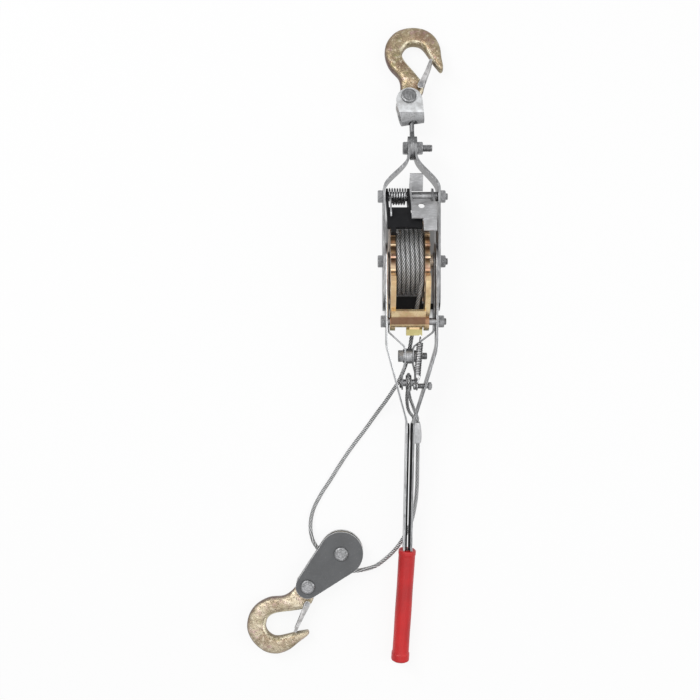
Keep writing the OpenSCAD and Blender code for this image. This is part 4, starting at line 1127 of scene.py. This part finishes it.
turned_along_x("spring_anchor_bolt",
               lambda a, b: [(a, 2.6), (a + 0.3, 3.6), (a + 0.8, 4.0), (a + 1.6, 4.0), (a + 1.62, 3.0)]
               + thread(a + 4, b, radius=3.0, pitch=1.0, cut=0.45))
turned_along_x("dead_end_pin",
               lambda a, b: [(a, 5.0), (a + 0.4, 5.8), (a + 0.9, 6.0), (a + 2, 6.0), (a + 2.02, 4.0),
                             (b - 2.02, 4.0), (b - 2, 6.0), (b - 0.9, 6.0), (b - 0.4, 5.8), (b, 5.0)])


# %% Rivets and the yoke's pin
BLOCK_T = 24.0
YOKE_HEAD_T = 3.2
PIN_HALF = 7 + 3.6 + 0.15 + YOKE_HEAD_T


def riveted(node, start, axis, length, shank, head, head_t, material):
    """A pin with a hammered head on each end: a flat middle, a groove and a rounded rim."""
    dome = [(0.0, 0.1), (0.0, head * 0.42), (0.12, head * 0.52), (0.34, head * 0.58), (0.12, head * 0.66),
            (0.16, head * 0.78), (0.5, head * 0.92), (1.0, head * 0.985), (1.5, head), (head_t - 0.2, head),
            (head_t, head * 0.98), (head_t + 0.01, shank)]
    profile = dome + [(length - along, radius) for along, radius in reversed(dome)]
    body = bmesh.new()
    lathe(body, start, axis, profile, sides=48)
    return finished(node + "_head", body, node, material, limit=60)


for rivet, at in (("sheave_axle", BLOCK_AT), ("hook_rivet", HOOK_RIVET_AT)):
    riveted(rivet, (*at, 0), Z_AXIS, BLOCK_T, 5.0, 8.0, 2.85, rivet_steel)
yoke_axis = Vector((0, 0.2578, 0.9662)).normalized()
riveted("yoke_pin", YOKE_PIN_AT - yoke_axis * PIN_HALF, yoke_axis, 2 * PIN_HALF, 5.0, 8.5, YOKE_HEAD_T,
        zinc_plate)


# %% [markdown]
# ## Springs
#
# A spring is one wire along one path, so the rope layer draws it too, with a single strand that
# isn't pushed off the path. The winch has two that show: the torsion spring round the left half
# of the spacer tube, and the coil that pulls the driving pawl's tail.

# %% Wires along paths
def wire(name, points, radius, material, spacing=0.0007, sides=10):
    return grow(name, route(name, points), ROPE_LAYER,
                {"Strands": 1, "Radius": 0.0, "Lay length": 1.0, "Strand radius": radius * MM,
                 "Spacing": spacing, "Sides": sides, "Phase": 0.0}, material)


def coiled(start, axis, across, other, radius, pitch, first, last, per_turn=32):
    """Points of a coil in millimetres; angles are in degrees."""
    steps = int(abs(last - first) / 360 * per_turn)
    points = []
    for step in range(steps + 1):
        angle = first + (last - first) * step / steps
        w = math.radians(angle)
        points.append(Vector(start) + (across * math.cos(w) + other * math.sin(w)) * radius
                      + axis * pitch * (angle - first) / 360)
    return points


PLATE_IN = 28.9
DRUM_X = -2.7
TORSION_X0 = 4.5 - PLATE_IN
TORSION_TURNS = 6.25
TORSION_R = 8.6
DRIVE_R = 3.1
TORSION_PITCH = (DRUM_X - 3.6 - TORSION_X0) / TORSION_TURNS
torsion = coiled((TORSION_X0, 72, AXLE_Z), Vector((1, 0, 0)), Vector((0, -1, 0)), Vector((0, 0, 1)),
                 TORSION_R, TORSION_PITCH, 90, 90 + 360 * TORSION_TURNS)
arm_over = smooth([(TORSION_X0 + 0.6, 44.5, AXLE_Z + 50.8), (TORSION_X0 + 0.5, 50.4, AXLE_Z + 50.6),
                   (TORSION_X0 + 0.3, 62.5, AXLE_Z + 37), (TORSION_X0, 71, AXLE_Z + 12)], 4)
arm_down = [torsion[-1] + Vector((0.2, 0.1, -5)), torsion[-1] + Vector((0.3, 0, -13))]
torsion_path = [point * MM for point in arm_over + torsion + arm_down]
torsion_spring = wire("torsion_spring_wire", torsion_path, 1.0, spring_wire)
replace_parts(torsion_spring, "stop_pawl_spring")
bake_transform(torsion_spring)

drive_top = Vector((9.3, -88, AXLE_Z + 13))
drive_low = Vector((6.2, -130, AXLE_Z + 9.6))
drive_axis = (drive_low - drive_top).normalized()
drive_a = Vector((0, 0, 1)).cross(drive_axis).normalized()
drive_b = drive_axis.cross(drive_a)
DRIVE_PITCH = 1.85
drive_turns = int(((drive_low - drive_top).length - 6) / DRIVE_PITCH)
drive_coil = coiled(drive_top + drive_axis * 3, drive_axis, drive_a, drive_b, DRIVE_R, DRIVE_PITCH,
                    0, 360 * drive_turns, per_turn=20)


def end_hook(middle, along, side, radius):
    """Three quarters of a circle, in 24 steps."""
    angles = [math.radians(150 - 270 * step / 24) for step in range(25)]
    return [middle + (along * math.cos(w) + side * math.sin(w)) * radius for w in angles]


upper_hook = end_hook(drive_top - drive_axis * 0.5, -drive_axis, drive_b, 3.4)
lower_hook = end_hook(Vector((drive_low.x, -138, AXLE_Z + 9)), drive_axis, drive_b, 4.4)
drive_path = [point * MM for point in upper_hook[::-1] + drive_coil + lower_hook]
drive_spring = wire("drive_spring_wire", drive_path, 0.8, spring_wire, spacing=0.0006, sides=8)
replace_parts(drive_spring, "drive_spring")
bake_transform(drive_spring)


# %% [markdown]
# ## Grip
#
# The grip is a thick red sleeve over the ends of both straps. It is a little wider at its mouth
# and at its end, it has a seam down the middle where the mould closed, and it was never quite
# straight. Its section is drawn station by station along the lean of the bar.

# %% Grip sleeve
HANDLE_LEN = 453.0
GRIP_LEN = 129.0
GRIP_W = 18.8
GRIP_DEPTH = 23.0
GRIP_SIDES = 56
GRIP_SQUARE = 2.35
CREASE = 0.55
HANDLE_RISE = 8.0
rest_depth = GRIP_DEPTH / 2 + 0.8 - HANDLE_RISE
DROOP = math.asin(AXLE_Z / math.hypot(HANDLE_LEN, rest_depth)) - math.atan2(rest_depth, HANDLE_LEN)
handle_place = (Matrix.Translation(mm(0, 0, AXLE_Z)) @ Matrix.Rotation(DROOP, 4, "X")
                @ Matrix.Translation(mm(0, 0, -AXLE_Z)))
LEAN_TOP = Vector((-3, 130 - HANDLE_LEN))
LEAN_END = Vector((-10.8, -HANDLE_LEN))
lean = (LEAN_END - LEAN_TOP).normalized()
lean_side = Vector((-lean.y, lean.x))


def grip_station(along):
    """Growth of the section in millimetres: flared mouth, rim, body, and a round end."""
    mouth = 0.48 * (1 - ease(along, 4.6, 6.2)) - 1.2 * (1 - ease(along, -0.2, 1.0))
    swell = 0.8 * ease(along, GRIP_LEN - 10.5, GRIP_LEN - 9.0)
    end = -2.6 * ease(along, GRIP_LEN - 2.4, GRIP_LEN) ** 2
    wave = -0.10 + 0.10 * math.sin(along * 0.11)
    return mouth + swell + end + wave


def grip_sleeve():
    body = bmesh.new()
    rings = []
    stations = [0, 0.5, 1.0, 2.5, 4.4, 4.8, 5.3, 5.8, 6.2]
    stations += [7 + 3.5 * step for step in range(32)]
    stations += [118.6, 119.2, 119.8, 120.4, 122, 124, 126, 126.8, 127.5, 128.1, 128.6, 129]
    for along in stations:
        centre = LEAN_TOP + lean * (along + 1)
        grown = grip_station(along)
        ring = []
        for step in range(GRIP_SIDES):
            angle = 2 * math.pi * step / GRIP_SIDES
            across, up = squared(angle, GRIP_SQUARE)
            crease = CREASE * math.exp(-((angle - math.pi / 2) / 0.10) ** 2) * ease(along, 8, 16)
            crease *= 1 - ease(along, 112, 119)
            width = GRIP_W / 2 + grown
            depth = GRIP_DEPTH / 2 + grown - crease
            x = centre.x + lean_side.x * across * width
            y = centre.y + lean_side.y * across * width
            ring.append(handle_place @ mm(x, y, AXLE_Z + HANDLE_RISE + up * depth))
        rings.append(ring)
    loft(body, rings)
    return finished("grip_sleeve", body, "grip", grip_vinyl, limit=70)


grip_sleeve()


# %% [markdown]
# Between the two straps of the bar lie two black strips, one along each strap, from the point
# where the straps meet down into the grip. They are painted shade, standing in for the dark deep
# between the straps. A narrow slot stays open between them.

# %% Painted shade strips between the straps
BAR_TOP = Vector((-0.5, -176))
BAR_GAP = 6.0
SHADE_STRIP_T = 2.1


def bar_shade_strip(name, side):
    body = bmesh.new()
    near = BAR_GAP / 2 - 0.04
    rings = []
    for y in (-181.5, -181, -230, -280, 130 - HANDLE_LEN):
        x = BAR_TOP.x + (LEAN_TOP.x - BAR_TOP.x) * (y - BAR_TOP.y) / (LEAN_TOP.y - BAR_TOP.y)
        trim = 0.3 if y == -181.5 else 0
        ring = [(near, 1.4), (near, 14.7), (near - SHADE_STRIP_T + 0.3, 14.7), (near - SHADE_STRIP_T, 14.4),
                (near - SHADE_STRIP_T, 1.7), (near - SHADE_STRIP_T + 0.3, 1.4)]
        rings.append([handle_place @ mm(x + side * across, y,
                                        AXLE_Z + up + (trim if up < 8 else -trim))
                      for across, up in ring])
    loft(body, rings)
    made = object_from(name, body)
    # Black paint: the strips are painted shade.
    made.data.materials.append(black_paint)
    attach(made, "handle")


bar_shade_strip("bar_strip_left", -1)
bar_shade_strip("bar_strip_right", 1)


# %% [markdown]
# ## Rope end
#
# The rope comes back to the winch and is laid round the dead end pin. A soft alloy ferrule is
# pressed over both legs, which leaves it oval, fullest at its middle and drawn in at both ends.

# %% Rope eye and ferrule
EYE_MID = Vector((TAIL_X, -135, 35))
EYE_R = 9.4
LEG_GAP = 5.2
FERRULE_SIDES = 40
FERRULE_SQUARE = 2.3
ferrule_axis = (ferrule_top - ferrule_low).normalized()


def eye_end(side, away):
    return ferrule_top + ferrule_axis * away + Vector((side * 2.26 - LEG_GAP / 2, 0, 0))


eye_arc = []
for step in range(33):
    angle = math.radians(-120 + 240 * step / 32)
    eye_arc.append(EYE_MID + Vector((0, EYE_R * math.cos(angle), EYE_R * math.sin(angle))))
eye_points = (smooth([eye_end(1, 0.7), eye_end(1, 5), (4.4, -164, 16.4), (TAIL_X + 1.8, -151, 25.5),
                      eye_arc[0]], 6)[:-1] + eye_arc
              + smooth([eye_arc[-1], (TAIL_X - 1.8, -146, 40.5), (TAIL_X - 1.6, -157, 32.5),
                        (-1.4, -167, 24.2), eye_end(-1, 5), eye_end(-1, 0.7)], 6)[1:])
eye_path = [point * MM for point in eye_points]
rope_eye = wire_rope("rope_eye_laid", eye_path, 3.9 * MM, laid_wire)
piece(rope_eye, "rope_eye", laid_wire)
print("rope eye length:", round(length_of(eye_path), 4), "m")


def pressed_ferrule():
    """An oval sleeve over two legs of rope, fullest below its middle."""
    body = bmesh.new()
    side = Vector((1, 0, 0))
    up = side.cross(ferrule_axis).normalized()
    length = (ferrule_top - ferrule_low).length
    rings = []
    for along, wide, thick in ((0, 5.7, 3.5), (0.6, 6.1, 3.95), (1.6, 6.4, 4.2), (4, 6.75, 4.3),
                               (8, 6.95, 4.32), (length / 2, 6.9, 4.3), (length - 9, 6.6, 4.25),
                               (length - 4, 6.0, 4.15), (length - 1.6, 5.5, 4.0),
                               (length - 0.6, 5.2, 3.8), (length, 4.8, 3.3)):
        ring = []
        for step in range(FERRULE_SIDES):
            across, rise = squared(2 * math.pi * step / FERRULE_SIDES, FERRULE_SQUARE)
            spot = (ferrule_low + ferrule_axis * along + side * (across * wide - LEG_GAP / 2)
                    + up * rise * thick)
            ring.append(spot * MM)
        rings.append(ring)
    loft(body, rings)
    return finished("ferrule_pressed", body, "ferrule", ferrule_alloy, limit=60)


pressed_ferrule()


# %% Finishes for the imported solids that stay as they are
PLAIN_FINISH = {
    zinc_tube: ("upper_spacer_tube",),
    zinc_bolt: ("tail_sleeve", "top_latch_pin", "block_latch_pin"),
    zinc_dull: ("drum_tube", "handle_core", "thimble"),
    bronze: ("drum_bush", "sheave_bush"),
    laid_wire: ("rope_under_layers",),
    spring_wire: ("top_latch_spring", "block_latch_spring"),
}
finish_of = {name: finish for finish, names in PLAIN_FINISH.items() for name in names}
replaced = set()
for item in bpy.data.objects:
    replaced.update(item.get("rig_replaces", []))
for name, node in nodes.items():
    if name in replaced:
        continue
    node.data.materials.clear()
    node.data.materials.append(finish_of.get(name, zinc_dull))
    if name not in finish_of:
        print("no finish chosen for", name)
